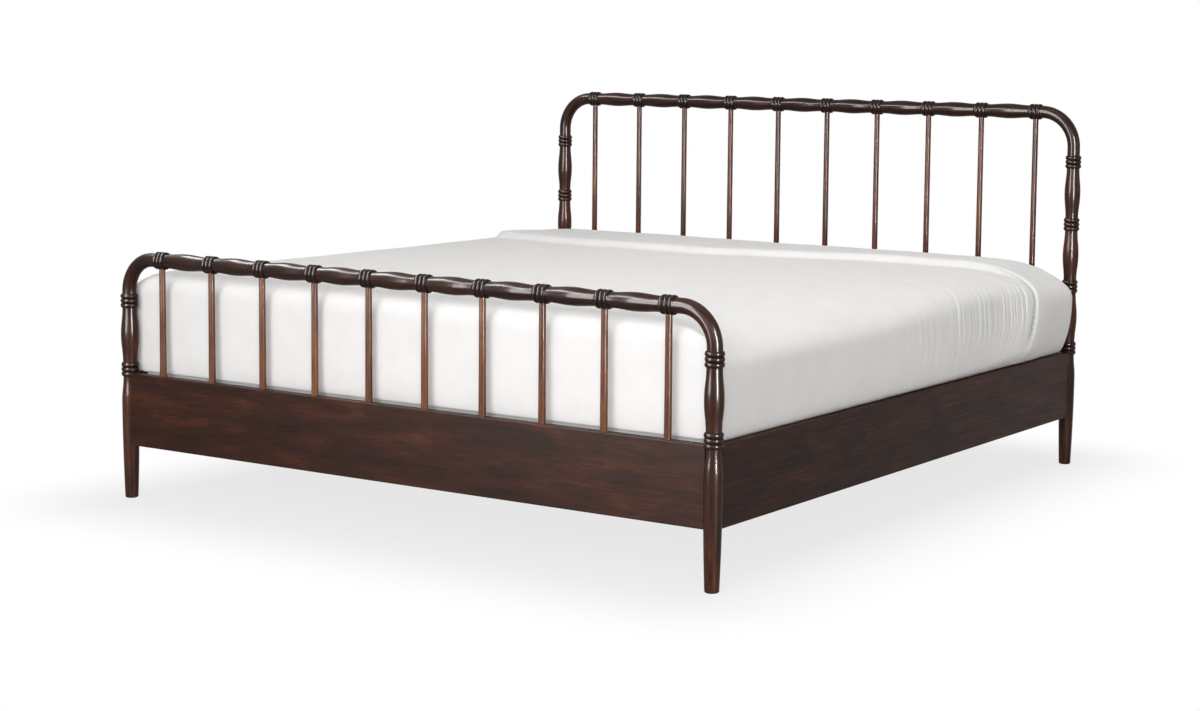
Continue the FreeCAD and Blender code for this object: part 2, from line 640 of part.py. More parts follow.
def make_panel_dowels():
    """Two dowels in each end of each panel."""
    body = new_body("panel_dowels")
    pin = rod(
        body, "Additive", "Sizes.dowel_radius", "Sizes.board_dowel_depth + Sizes.post_dowel_depth",
        f"{POST_X} - Sizes.board_seat - Sizes.board_dowel_depth", POST_Y,
        "Sizes.panel_bottom + Sizes.panel_dowel_inset", TO_RIGHT,
    )
    span = "Sizes.board_height - 2 * Sizes.panel_dowel_inset"
    repeat(body, pin, [("Z", span, "2")], ["YZ", "XZ"])
    return body


def make_rail_dowels():
    """Two dowels in each end of each side rail."""
    body = new_body("rail_dowels")
    pin = rod(
        body, "Additive", "Sizes.dowel_radius", "Sizes.board_dowel_depth + Sizes.post_dowel_depth",
        POST_X, f"{POST_Y} - Sizes.board_seat - Sizes.board_dowel_depth",
        "Sizes.panel_bottom + Sizes.rail_dowel_inset", TO_HEAD,
    )
    span = "Sizes.board_height - 2 * Sizes.rail_dowel_inset"
    repeat(body, pin, [("Z", span, "2")], ["YZ", "XZ"])
    return body


# Sub-parts of the side rails and the deck.
def make_side_rail(side):
    """A plank side rail with holes for its dowels, cleat and corner brackets."""
    body = new_body(f"side_rail_{side}")
    hand = SIDES[side]
    half = f"({POST_Y} - Sizes.board_seat)"
    plank = block(
        body, "Additive", "Sizes.board_thickness", f"2 * {half}", "Sizes.board_height",
        "-Sizes.board_thickness / 2", f"-{half}", "Sizes.panel_bottom",
    )
    round_edges(body, plank, "Y")
    outward = TO_RIGHT if hand > 0 else TO_LEFT
    dowel = rod(
        body, "Subtractive", DOWEL_BORE, "Sizes.board_dowel_depth + Sizes.fit_gap", "0", half,
        "Sizes.panel_bottom + Sizes.rail_dowel_inset", TO_FOOT,
    )
    repeat(body, dowel, [("Z", "Sizes.board_height - 2 * Sizes.rail_dowel_inset", "2")], ["XZ"])
    screw_holes(
        body, "Sizes.bracket_screw_length",
        f"{-hand} * (Sizes.board_thickness / 2 + Sizes.bracket_thickness)",
        f"{INNER_Y} - Sizes.bracket_screw_reach", BRACKET_SCREW_Z, outward,
        [("Z", "Sizes.bracket_screw_spacing", "2")], ["XZ"],
    )
    shank_holes(
        body, "Sizes.cleat_screw_length", f"{-hand} * (Sizes.board_thickness / 2 + Sizes.cleat_width)",
        f"-{CLEAT_SCREW_SPAN} / 2", CLEAT_SCREW_Z, outward,
        [("Y", CLEAT_SCREW_SPAN, "Sizes.cleat_screw_count")],
    )
    return put(body, f"{hand} * {POST_X}")


def make_cleat(side):
    """The strip along a side rail that carries the slats."""
    body = new_body(f"slat_cleat_{side}")
    hand = SIDES[side]
    low_x = CLEAT_FACE if hand > 0 else f"-{INNER_X}"
    block(
        body, "Additive", "Sizes.cleat_width", f"2 * {CLEAT_HALF}", "Sizes.cleat_height",
        low_x, f"-{CLEAT_HALF}", CLEAT_BOTTOM,
    )
    screw_holes(
        body, "Sizes.cleat_screw_length", f"{hand} * {CLEAT_FACE}", f"-{CLEAT_SCREW_SPAN} / 2",
        CLEAT_SCREW_Z, TO_RIGHT if hand > 0 else TO_LEFT,
        [("Y", CLEAT_SCREW_SPAN, "Sizes.cleat_screw_count")],
    )
    shank_holes(
        body, "Sizes.slat_screw_length", f"{hand} * {SLAT_SCREW_X}", f"-{SLAT_SPAN} / 2", DECK, DOWN,
        [("Y", SLAT_SPAN, "Sizes.slat_count")],
    )
    return body


def make_cleat_screws():
    body = new_body("cleat_screws")
    screws(
        body, "Sizes.cleat_screw_length", CLEAT_FACE, f"-{CLEAT_SCREW_SPAN} / 2", CLEAT_SCREW_Z, TO_RIGHT,
        [("Y", CLEAT_SCREW_SPAN, "Sizes.cleat_screw_count")], ["YZ"],
    )
    return body


def make_slats():
    """Slats across the cleats, screwed down at both ends."""
    body = new_body("slats")
    half = f"({INNER_X} - Sizes.slat_end_gap)"
    places = [("Y", SLAT_SPAN, "Sizes.slat_count")]
    slat = block(
        body, "Additive", f"2 * {half}", "Sizes.slat_width", "Sizes.slat_thickness",
        f"-{half}", f"-{SLAT_SPAN} / 2 - Sizes.slat_width / 2", CLEAT_TOP,
    )
    repeat(body, slat, places)
    screw_holes(
        body, "Sizes.slat_screw_length", SLAT_SCREW_X, f"-{SLAT_SPAN} / 2", DECK, DOWN, places, ["YZ"]
    )
    return body


def make_slat_screws():
    body = new_body("slat_screws")
    screws(
        body, "Sizes.slat_screw_length", SLAT_SCREW_X, f"-{SLAT_SPAN} / 2", DECK, DOWN,
        [("Y", SLAT_SPAN, "Sizes.slat_count")], ["YZ"],
    )
    return body


def make_corner_brackets():
    """Steel brackets in the four inner corners, with a slanted middle that clears the post."""
    body = new_body("corner_brackets")
    thick = "Sizes.bracket_thickness"
    slant = f"(Sizes.bracket_corner + {thick} * (sqrt(2) - 1))"
    sketch = new_sketch(body, "XY", f"{BRACKET_TOP} - Sizes.bracket_height")
    draw(
        sketch,
        [
            (f"{INNER_X} - Sizes.bracket_arm", INNER_Y),
            (f"{INNER_X} - Sizes.bracket_arm", f"{INNER_Y} - {thick}"),
            (f"{INNER_X} - {slant}", f"{INNER_Y} - {thick}"),
            (f"{INNER_X} - {thick}", f"{INNER_Y} - {slant}"),
            (f"{INNER_X} - {thick}", f"{INNER_Y} - Sizes.bracket_arm"),
            (INNER_X, f"{INNER_Y} - Sizes.bracket_arm"),
            (INNER_X, f"{INNER_Y} - Sizes.bracket_corner"),
            (f"{INNER_X} - Sizes.bracket_corner", INNER_Y),
        ],
    )
    pad = body.newObject("PartDesign::Pad", "Bracket")
    pad.Profile = sketch
    pad.setExpression("Length", "Sizes.bracket_height")
    corners = ["YZ", "XZ"]
    repeat(body, pad, mirrors=corners)
    places = [("Z", "Sizes.bracket_screw_spacing", "2")]
    screw_holes(body, "Sizes.bracket_screw_length", *bracket_panel_screw(), places, corners)
    screw_holes(body, "Sizes.bracket_screw_length", *bracket_rail_screw(), places, corners)
    return body


def bracket_panel_screw():
    """Place and direction of a bracket's lower screw into the panel."""
    reach = f"{INNER_X} - Sizes.bracket_screw_reach"
    return reach, f"{INNER_Y} - Sizes.bracket_thickness", BRACKET_SCREW_Z, TO_HEAD


def bracket_rail_screw():
    """Place and direction of a bracket's lower screw into the side rail."""
    reach = f"{INNER_Y} - Sizes.bracket_screw_reach"
    return f"{INNER_X} - Sizes.bracket_thickness", reach, BRACKET_SCREW_Z, TO_RIGHT


def make_bracket_screws():
    body = new_body("bracket_screws")
    places = [("Z", "Sizes.bracket_screw_spacing", "2")]
    corners = ["YZ", "XZ"]
    screws(body, "Sizes.bracket_screw_length", *bracket_panel_screw(), places, corners)
    screws(body, "Sizes.bracket_screw_length", *bracket_rail_screw(), places, corners)
    return body


def make_centre_beam():
    """The beam under the middle of the slats, with holes for its legs' bolts."""
    body = new_body("centre_beam")
    half = f"({INNER_Y} - Sizes.beam_end_gap)"
    block(
        body, "Additive", "Sizes.beam_width", f"2 * {half}", "Sizes.beam_height",
        "-Sizes.beam_width / 2", f"-{half}", BEAM_BOTTOM,
    )
    bolt = rod(
        body, "Subtractive", "Sizes.bolt_radius + Sizes.screw_gap", "Sizes.bolt_depth + Sizes.fit_gap",
        "0", FIRST_LEG, BEAM_BOTTOM, UP,
    )
    repeat(body, bolt, LEG_ROW)
    return body


def make_beam_hangers():
    """Steel saddles on the panels that carry the ends of the centre beam."""
    body = new_body("beam_hangers")
    steel = "Sizes.hanger_thickness"
    front = f"{INNER_Y} - Sizes.hanger_depth"
    ends = ["XZ"]
    seat = block(
        body, "Additive", f"2 * {HANGER_OUTSIDE}", "Sizes.hanger_depth", steel,
        f"-{HANGER_OUTSIDE}", front, f"{BEAM_BOTTOM} - {steel}",
    )
    repeat(body, seat, mirrors=ends)
    cheek = block(
        body, "Additive", steel, "Sizes.hanger_depth", "Sizes.hanger_cheek", HANGER_INSIDE, front, BEAM_BOTTOM
    )
    repeat(body, cheek, mirrors=["YZ", *ends])
    flange = block(
        body, "Additive", "Sizes.hanger_flange", steel, "Sizes.hanger_cheek",
        HANGER_OUTSIDE, f"{INNER_Y} - {steel}", BEAM_BOTTOM,
    )
    repeat(body, flange, mirrors=["YZ", *ends])
    screw_holes(
        body, "Sizes.bracket_screw_length", HANGER_SCREW_X, f"{INNER_Y} - {steel}", HANGER_SCREW_Z, TO_HEAD,
        [("Z", "Sizes.hanger_screw_spacing", "2")], ["YZ", *ends],
    )
    return body


def make_hanger_screws():
    body = new_body("hanger_screws")
    screws(
        body, "Sizes.bracket_screw_length", HANGER_SCREW_X, f"{INNER_Y} - Sizes.hanger_thickness",
        HANGER_SCREW_Z, TO_HEAD, [("Z", "Sizes.hanger_screw_spacing", "2")], ["YZ", "XZ"],
    )
    return body


# Sub-parts of the centre legs and their levellers.
def leg_y(number):
    return f"{FIRST_LEG} + {number} * Sizes.leg_spacing"


def make_centre_leg(number):
    """A round leg, bored for its bolt above and for its insert and stud below."""
    body = new_body(f"centre_leg_{number + 1}")
    rod(
        body, "Additive", "Sizes.centre_leg_radius", f"{BEAM_BOTTOM} - Sizes.leveller_height", "0", "0",
        "Sizes.leveller_height", UP,
    )
    rod(
        body, "Subtractive", "Sizes.bolt_radius + Sizes.screw_gap", "Sizes.bolt_depth + Sizes.fit_gap",
        "0", "0", BEAM_BOTTOM, DOWN,
    )
    rod(
        body, "Subtractive", "Sizes.insert_radius + Sizes.screw_gap",
        "Sizes.insert_length + Sizes.fit_gap", "0", "0", "Sizes.leveller_height", UP,
    )
    rod(
        body, "Subtractive", f"{STUD_BORE} + Sizes.fit_gap",
        "Sizes.pad_floor + Sizes.stud_length + Sizes.stud_room - Sizes.leveller_height", "0", "0",
        "Sizes.leveller_height", UP,
    )
    return put(body, "0", leg_y(number))


def make_leg_bolts():
    """The bolts that hold the centre legs to the beam."""
    body = new_body("leg_bolts")
    bolt = rod(
        body, "Additive", "Sizes.bolt_radius", "2 * Sizes.bolt_depth", "0", FIRST_LEG,
        f"{BEAM_BOTTOM} - Sizes.bolt_depth", UP,
    )
    repeat(body, bolt, LEG_ROW)
    return body


def make_leg_inserts():
    """The threaded inserts in the centre legs, in which the levellers' studs turn."""
    body = new_body("leg_inserts")
    outside = rod(
        body, "Additive", "Sizes.insert_radius", "Sizes.insert_length", "0", FIRST_LEG,
        "Sizes.leveller_height", UP,
    )
    repeat(body, outside, LEG_ROW)
    thread = rod(
        body, "Subtractive", STUD_BORE, "Sizes.insert_length", "0", FIRST_LEG, "Sizes.leveller_height", UP
    )
    repeat(body, thread, LEG_ROW)
    return body


def make_leveller_pad(number):
    """The foot of a leveller, with a socket in which the stud's end turns."""
    body = new_body(f"leveller_pad_{number + 1}")
    cone(body, "Additive", "Sizes.pad_radius", "Sizes.pad_top_radius", "Sizes.pad_height")
    rod(body, "Subtractive", STUD_BORE, "Sizes.pad_height", "0", "0", "Sizes.pad_floor", UP)
    return put(body, "0", leg_y(number))


def make_leveller_stud(number):
    """A leveller's screw with the hexagon that a wrench turns."""
    body = new_body(f"leveller_stud_{number + 1}")
    start = "Sizes.pad_floor + Sizes.stud_gap"
    rod(body, "Additive", "Sizes.stud_radius", "Sizes.stud_length", "0", "0", start, UP)
    nut = body.newObject("PartDesign::AdditivePrism", "Hexagon")
    nut.Polygon = 6
    nut.setExpression("Circumradius", "Sizes.stud_nut_radius")
    nut.setExpression("Height", "Sizes.stud_nut_height")
    put(nut, "0", "0", "Sizes.pad_height + Sizes.soft_gap")
    return put(body, "0", leg_y(number))


# The mattress and its sheet.
def soft_sections(grow):
    """Levels of the mattress grown by an amount: (height, half width, half length, corner radius)."""
    width = f"({INNER_X} - Sizes.mattress_side_gap + {grow})"
    length = f"({INNER_Y} - Sizes.mattress_end_gap + {grow})"
    belly_z = f"({BOARD_TOP} + Sizes.belly_rise)"
    full_width = f"({width} + Sizes.side_belly)"
    full_length = f"({length} + Sizes.end_belly)"
    corner = "Sizes.mattress_corner"
    ease = "Sizes.mattress_ease"
    levels = [
        (MATTRESS_BOTTOM, f"{width} - {ease}", f"{length} - {ease}", corner),
        (f"{MATTRESS_BOTTOM} + 2 * {ease}", width, length, corner),
        (BOARD_TOP, width, length, corner),
    ]
    for share in (0.3, 0.65, 1):
        swell = math.sin(share * math.pi / 2)
        levels.append(
            (
                f"{BOARD_TOP} + {share} * Sizes.belly_rise",
                f"{width} + {swell} * Sizes.side_belly",
                f"{length} + {swell} * Sizes.end_belly",
                corner,
            )
        )
    for angle in (20, 40, 60, 80):
        inset = f"(1 - cos({angle} deg))"
        levels.append(
            (
                f"{belly_z} + (Sizes.shoulder_rise + {grow}) * sin({angle} deg)",
                f"{full_width} - {inset} * Sizes.side_shoulder",
                f"{full_length} - {inset} * Sizes.end_shoulder",
                f"{corner} + {inset} * Sizes.end_shoulder / 2",
            )
        )
    top = f"({belly_z} + Sizes.shoulder_rise + {grow})"
    for share in (0.95, 0.7, 0.4):
        levels.append(
            (
                f"{top} + {1 - share**2} * Sizes.crown_rise",
                f"{share} * ({full_width} - Sizes.side_shoulder)",
                f"{share} * ({full_length} - Sizes.end_shoulder)",
                f"{corner} + {share} * Sizes.end_shoulder / 2",
            )
        )
    return levels


def soft_loft(body, kind, grow):
    """A loft through rounded rectangles: drawn in at the rails, bellied above them, crowned on top."""
    sketches = []
    for height, width, length, corner in soft_sections(grow):
        sketch = new_sketch(body, "XY", height)
        draw(
            sketch,
            [
                (f"{width}", f"-({length} - ({corner}))"),
                (f"{width}", f"{length} - ({corner})", corner, 1),
                (f"{width} - ({corner})", f"{length}"),
                (f"-({width} - ({corner}))", f"{length}", corner, 1),
                (f"-({width})", f"{length} - ({corner})"),
                (f"-({width})", f"-({length} - ({corner}))", corner, 1),
                (f"-({width} - ({corner}))", f"-({length})"),
                (f"{width} - ({corner})", f"-({length})", corner, 1),
            ],
        )
        sketches.append(sketch)
    loft = body.newObject(f"PartDesign::{kind}Loft", "Soft")
    loft.Profile = sketches[0]
    loft.Sections = sketches[1:]
    loft.Ruled = True
    body.Tip = loft
    return loft


def make_mattress():
    body = new_body("mattress")
    soft_loft(body, "Additive", "0")
    return body


def make_fitted_sheet():
    """The quilted sheet over the mattress's top and sides, open underneath."""
    body = new_body("fitted_sheet")
    soft_loft(body, "Additive", "(Sizes.soft_gap + Sizes.sheet_thickness)")
    soft_loft(body, "Subtractive", "Sizes.soft_gap")
    return body


def build_all():
    parts = []
    for board in (HEAD, FOOT):
        for side in SIDES:
            parts.append(make_post(board, side))
            parts.append(make_elbow(board, side))
        parts.append(make_top_rail(board))
        parts.append(make_panel(board))
        for number in range(count_of("Sizes.spindle_count")):
            parts.append(make_spindle(board, number))
    parts += [make_elbow_dowels(), make_panel_dowels(), make_rail_dowels()]
    for side in SIDES:
        parts.append(make_side_rail(side))
        parts.append(make_cleat(side))
    parts += [make_cleat_screws(), make_slats(), make_slat_screws()]
    parts += [make_corner_brackets(), make_bracket_screws()]
    parts += [make_centre_beam(), make_beam_hangers(), make_hanger_screws()]
    for number in range(count_of("Sizes.leg_count")):
        parts.append(make_centre_leg(number))
        parts.append(make_leveller_pad(number))
        parts.append(make_leveller_stud(number))
    parts += [make_leg_bolts(), make_leg_inserts()]
    parts += [make_mattress(), make_fitted_sheet()]
    return parts


def check_and_write(parts):
    """Stop at any failed object or bad shape, then write one file for each sub-part."""
    for item in doc.Objects:
        if "Invalid" in item.State or "Error" in item.State:
            raise RuntimeError(f"{item.Name} ({item.Label}) failed: {item.State}")
    for part in parts:
        if part.Shape.isNull() or not part.Shape.isValid() or not part.Shape.Solids:
            raise RuntimeError(f"{part.Label} has no valid solid")
    os.makedirs("parts", exist_ok=True)
    for part in parts:
        part.Shape.exportStep(f"parts/{part.Label}.step")


all_parts = build_all()
doc.recompute()
check_and_write(all_parts)
print(f"{len(all_parts)} sub-parts written")
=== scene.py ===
import math
from functools import partial

import bmesh
import bpy
import numpy as np
from mathutils import Matrix, Vector


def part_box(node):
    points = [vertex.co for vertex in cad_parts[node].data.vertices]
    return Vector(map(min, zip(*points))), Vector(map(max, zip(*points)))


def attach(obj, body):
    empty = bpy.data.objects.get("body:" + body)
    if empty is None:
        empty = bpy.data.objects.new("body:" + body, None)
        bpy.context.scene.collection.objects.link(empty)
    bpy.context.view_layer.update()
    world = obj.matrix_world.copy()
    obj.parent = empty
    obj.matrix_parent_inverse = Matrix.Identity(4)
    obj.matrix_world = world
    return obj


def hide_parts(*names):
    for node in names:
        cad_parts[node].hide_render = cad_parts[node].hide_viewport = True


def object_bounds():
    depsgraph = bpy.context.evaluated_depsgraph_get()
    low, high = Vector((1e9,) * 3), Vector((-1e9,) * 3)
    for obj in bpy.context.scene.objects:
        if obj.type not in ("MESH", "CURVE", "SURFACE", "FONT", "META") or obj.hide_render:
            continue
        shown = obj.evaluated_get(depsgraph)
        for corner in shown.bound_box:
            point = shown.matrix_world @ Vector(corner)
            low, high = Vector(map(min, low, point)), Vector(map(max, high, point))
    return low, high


bl_info = {
    "name": "Turned Spindle Bed",
    "version": (1, 0, 0),
    "blender": (4, 5, 0),
    "location": "3D View > Sidebar > Bed",
    "description": "Finishes a turned-wood bed, dresses its mattress and sets the studio",
    "category": "Object",
}

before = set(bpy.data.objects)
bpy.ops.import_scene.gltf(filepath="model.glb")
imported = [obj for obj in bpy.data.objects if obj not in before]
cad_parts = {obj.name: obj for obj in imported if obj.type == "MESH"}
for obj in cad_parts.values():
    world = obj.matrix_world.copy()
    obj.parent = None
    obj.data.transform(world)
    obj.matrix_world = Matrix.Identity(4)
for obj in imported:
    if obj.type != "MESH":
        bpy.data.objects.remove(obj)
CAD_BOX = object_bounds()

BOARDS = ("headboard", "footboard")
SIDES = ("left", "right")
LEGS = (1, 2, 3)
IMAGE_WIDTH, IMAGE_HEIGHT = 1200, 711
MATH, VECTOR_MATH, COMBINE = "ShaderNodeMath", "ShaderNodeVectorMath", "ShaderNodeCombineXYZ"


def middle(node_name):
    """Centre of a CAD node's box."""
    low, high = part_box(node_name)
    return (low + high) / 2


POST = middle("headboard_post_right")
RAIL_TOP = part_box("side_rail_right")[1].z
SPINDLE_REACH = middle("headboard_spindle_10").x
SPINDLE_COUNT = 10
RAIL_COLLAR_SPACING = 2 * SPINDLE_REACH / (SPINDLE_COUNT - 1)
SHEET_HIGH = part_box("fitted_sheet")[1]
MATTRESS_LOW, MATTRESS_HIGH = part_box("mattress")

# Rows of faces over the shoulder, over the belly and behind the rails.
MATTRESS_ROWS = (10, 8, 4)
SHEET_ROWS = (16, 14, 4)


def linear(colour):
    """The linear red, green and blue of an sRGB hex colour."""
    channels = [int(colour[i:i + 2], 16) / 255 for i in (1, 3, 5)]
    return tuple(c / 12.92 if c <= 0.04045 else ((c + 0.055) / 1.055) ** 2.4 for c in channels)


def numbers(name, description, value, **settings):
    """Property of several numbers."""
    return bpy.props.FloatVectorProperty(name=name, description=description, default=value, **settings)


def swatch(name, description, colour):
    """Colour property with an sRGB hex default."""
    return numbers(name, description, linear(colour), subtype="COLOR", min=0, max=1)


def amount(name, description, value, low=0, **settings):
    """Number property with a lower limit."""
    return bpy.props.FloatProperty(name=name, description=description, min=low, default=value, **settings)


def metres(name, description, value):
    """Length property."""
    return amount(name, description, value, subtype="DISTANCE", unit="LENGTH")


class BedWoodSettings(bpy.types.PropertyGroup):
    """Stain, lacquer and turned details of the frame."""

    dark: swatch("Dark streaks", "Stain where the grain takes most of it", "#1d0e09")
    body: swatch("Body", "Colour of most of the stained wood", "#351b11")
    chestnut: swatch("Chestnut", "Colour where the stain was wiped thin", "#552e1c")
    light: swatch("Light streaks", "Lightest streaks of the grain", "#805031")
    groove: swatch("Groove", "Stain that stays in the grooves of the collars", "#0c0605")
    pine: swatch("Pine", "Bare planed softwood of the deck", "#c9a06c")
    pine_dark: swatch("Pine latewood", "Dark lines of the softwood's rings", "#a06f3e")
    beech: swatch("Beech", "Bare hardwood of the dowels", "#c59a70")
    beech_dark: swatch("Beech fleck", "Short dark flecks of the dowels", "#a97c52")
    collar_spacing: metres("Collar spacing", "Collar to collar up a post", 0.198)
    first_collar: metres("First collar", "Side rail top to the first collar's middle", 0.011)
    collar_reach: metres("Collar reach", "Half the length of a collar", 0.020)
    bead_radius: metres("Bead radius", "Radius over a collar's beads", 0.025)
    groove_radius: metres("Groove radius", "Radius between a collar's beads", 0.0215)
    head_bend: metres("Headboard bend", "Radius of the headboard's elbows", 0.110)
    foot_bend: metres("Footboard bend", "Radius of the footboard's elbows", 0.096)
    gloss: amount("Lacquer roughness", "Roughness of the satin lacquer", 0.40, subtype="FACTOR", max=1)
    stave_length: metres("Stave length", "Length of a stave in the glued-up planks", 0.42)
    stave_width: metres("Stave width", "Width of a stave in the glued-up planks", 0.069)


class BedSheetSettings(bpy.types.PropertyGroup):
    """Shape and colour of the mattress and its sheet."""

    cloth: swatch("Cloth", "Colour of the sheet", "#eeeeee")
    ticking: swatch("Ticking", "Colour of the mattress's cover", "#dcd9d2")
    side_belly: metres("Side belly", "Swelling of the long sides over the rails", 0.016)
    end_belly: metres("End belly", "Swelling of the ends", 0.007)
    bulge: metres("Bulge", "Further swelling of the left side and of the right side's head end", 0.034)
    belly_rise: metres("Belly rise", "Rail top to the foot of the shoulder", 0.172)
    shoulder_rise: metres("Shoulder rise", "Height of the upper edge's rounding", 0.115)
    side_shoulder: metres("Right shoulder", "Width of the rounding along the right side", 0.270)
    left_shoulder: metres("Left shoulder", "Width of the rounding along the left side", 0.120)
    left_rise: metres("Left rise", "Height of the rounding along the left side", 0.060)
    foot_shoulder: metres("Foot shoulder", "Width of the rounding along the foot", 0.070)
    foot_rise: metres("Foot rise", "Height of the rounding along the foot", 0.060)
    head_shoulder: metres("Head shoulder", "Width of the rounding along the head", 0.100)
    crown: metres("Crown", "Rise of the top to its middle", 0.014)
    corner: metres("Corner", "Corner radius seen from above", 0.024)
    rail_gap: metres("Rail gap", "Cloth's lowest height over the rails' top", 0.0018)
    lower_ease: metres("Lower ease", "Rounding of the lower edge", 0.010)
    ridge_place: metres("Ridge place", "Middle of the bed to the ridge's nearest point", 0.43)
    ridge_height: metres("Ridge height", "Height of the ridge across the sheet", 0.020)
    crease_depth: metres("Crease depth", "Depth of the crease that the ridge ends in", 0.012)
    gather_depth: metres("Gather depth", "Depth of the gathers down the long sides", 0.0026)
    cloth_thickness: metres("Cloth thickness", "Thickness of the sheet", 0.0014)
    quilt_depth: metres("Quilt depth", "Depth of the quilting under the mattress", 0.004)


class BedDeckSettings(bpy.types.PropertyGroup):
    """Slats, screws and other fixings."""

    slat_count: bpy.props.IntProperty(name="Slats", description="Slats across the bed", min=2, default=14)
    slat_width: metres("Slat width", "Width of a slat", 0.070)
    slat_edge: metres("Slat edge", "Rounding of a slat's long edges", 0.003)
    screw_head: metres("Screw head", "Radius of a screw's head", 0.004)
    screw_head_height: metres("Screw head height", "Height of a screw's head", 0.0025)
    screw_shank: metres("Screw shank", "Radius of a screw's shank", 0.002)
    zinc: swatch("Zinc", "Plated steel of the fixings", "#b9bcc0")
    brass: swatch("Brass", "Threaded inserts of the legs", "#c9a257")
    plastic: swatch("Plastic", "Pads of the levellers", "#17171a")


class BedStageSettings(bpy.types.PropertyGroup):
    """Studio light, floor and camera."""

    floor: swatch("Floor", "Colour of the studio floor", "#b4b4b4")
    floor_reach: metres("Floor reach", "Middle of the floor to its edge", 14)
    sky_colour: swatch("Sky colour", "Tint of the even light", "#fff8ef")
    sky: amount("Sky", "Even light from all round", 0.26)
    front: amount("Front light", "Power of the soft box before the foot", 386, subtype="POWER")
    top: amount("Top light", "Power of the soft box overhead", 58, subtype="POWER")
    side: amount("Side light", "Power of the soft box beside the head", 28, subtype="POWER")
    shine: amount("Shine", "Brightness of the strips that only the lacquer mirrors", 36)
    eye: numbers(
        "Camera place", "Where the camera stands", (3.8804, -5.66, 1.328), subtype="TRANSLATION", unit="LENGTH"
    )
    turn: numbers(
        "Camera turn", "Yaw, pitch and roll of the camera", (0.5648, -0.1041, 0.0131), subtype="EULER",
        unit="ROTATION",
    )
    focal_pixels: amount("Focal length", "Focal length in pixels of the picture", 2279.27, low=1)
    middle_pixel: numbers("Middle", "Pixel that the camera's axis meets", (706.4, 281.1), size=2)


# Small helpers for nodes and objects.
def fill(made, inputs):
    """Link or set a node's inputs, by name or in order."""
    named = inputs if isinstance(inputs, dict) else dict(enumerate(inputs))
    for key, value in named.items():
        if isinstance(value, bpy.types.NodeSocket):
            made.id_data.links.new(value, made.inputs[key])
        else:
            made.inputs[key].default_value = value


def node(tree, kind, inputs=(), out=0, stops=(), **settings):
    """Add a node with its settings and links, and return one of its outputs, or the node where out is None."""
    made = tree.nodes.new(kind)
    for name, value in settings.items():
        setattr(made, name, value)
    if stops:
        elements = made.color_ramp.elements
        while len(elements) < len(stops):
            elements.new(1)
        for element, (position, colour) in zip(elements, stops):
            element.position = position
            element.color = (*colour, 1)
    fill(made, inputs)
    return made if out is None else made.outputs[out]


def per_mm(size):
    """Texture scale whose pattern repeats about every so many millimetres."""
    return 1000 / size


def new_material(name):
    """A material, the function that adds a node to it, and its shader."""
    material = bpy.data.materials.new(name)
    material.use_nodes = True
    tree = material.node_tree
    return material, partial(node, tree), tree.nodes["Principled BSDF"]


def dress(material, *names):
    """Give carried-over CAD nodes their material."""
    for name in names:
        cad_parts[name].data.materials[0] = material


def new_object(name, data):
    """An object in the scene."""
    made = bpy.data.objects.new(name, data)
    bpy.context.scene.collection.objects.link(made)
    return made


def new_piece(name, mesh, body, replaced, material=None):
    """A shown object that rides on a body and stands for CAD nodes."""
    piece = new_object(name, mesh)
    if material:
        mesh.materials.append(material)
    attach(piece, body)
    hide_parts(*replaced)
    return piece


# Wood: close-grained maple, turned or planed, under a dark walnut stain and a satin lacquer. The eye gets long
# dark and chestnut streaks, soft broad highlights and near-black grooves.
def grain_coordinates(add, grain, bend=None):
    """The place along each axis, and a vector whose first part runs along the grain, in metres."""
    place = add("ShaderNodeTexCoord", out="Object")
    axes = add("ShaderNodeSeparateXYZ", [place], out=None).outputs
    if bend:
        radius, centre_x, centre_z = bend
        side = add(MATH, [axes["X"]], operation="ABSOLUTE")
        out = add(MATH, [side, centre_x], operation="SUBTRACT")
        rise = add(MATH, [axes["Z"], centre_z], operation="SUBTRACT")
        angle = add(MATH, [rise, out], operation="ARCTAN2")
        along = add(MATH, [angle, radius], operation="MULTIPLY")
        flat = add(COMBINE, [out, rise])
        reach = add(VECTOR_MATH, [flat], out="Value", operation="LENGTH")
        side_shift = add(MATH, [axes["X"], axes["Y"]], operation="ADD")
        parts = (along, side_shift, reach)
    else:
        parts = [axes[axis] for axis in {"X": "XYZ", "Y": "YXZ", "Z": "ZXY"}[grain]]
    return axes, add(COMBINE, parts)


def streaks(add, vector, size, stretch, detail, distortion=0.0):
    """Noise of a size in millimetres across the grain, drawn out along it."""
    drawn = add(VECTOR_MATH, [vector, (1 / stretch, 1, 1)], operation="MULTIPLY")
    return add(
        "ShaderNodeTexNoise",
        {"Vector": drawn, "Scale": per_mm(size), "Detail": detail, "Roughness": 0.6, "Distortion": distortion},
    )


def weighted_sum(add, terms, total=0.0):
    """Sum of (socket, weight) pairs and a number to start from."""
    for socket, weight in terms:
        total = add(MATH, [socket, weight, total], operation="MULTIPLY_ADD")
    return total


def stave_tones(add, axes, grain):
    """A tone for each stave of a plank that is glued up from staves."""
    wood = bpy.context.scene.bed_wood
    return add(
        "ShaderNodeTexBrick",
        {"Vector": add(COMBINE, [axes[grain], axes["Z"]]), "Color1": (0.2, 0.2, 0.2, 1),
         "Color2": (0.8, 0.8, 0.8, 1), "Scale": 1, "Mortar Size": 0, "Brick Width": wood.stave_length,
         "Row Height": wood.stave_width},
        offset=0.37, offset_frequency=2, squash=0.8, squash_frequency=3,
    )


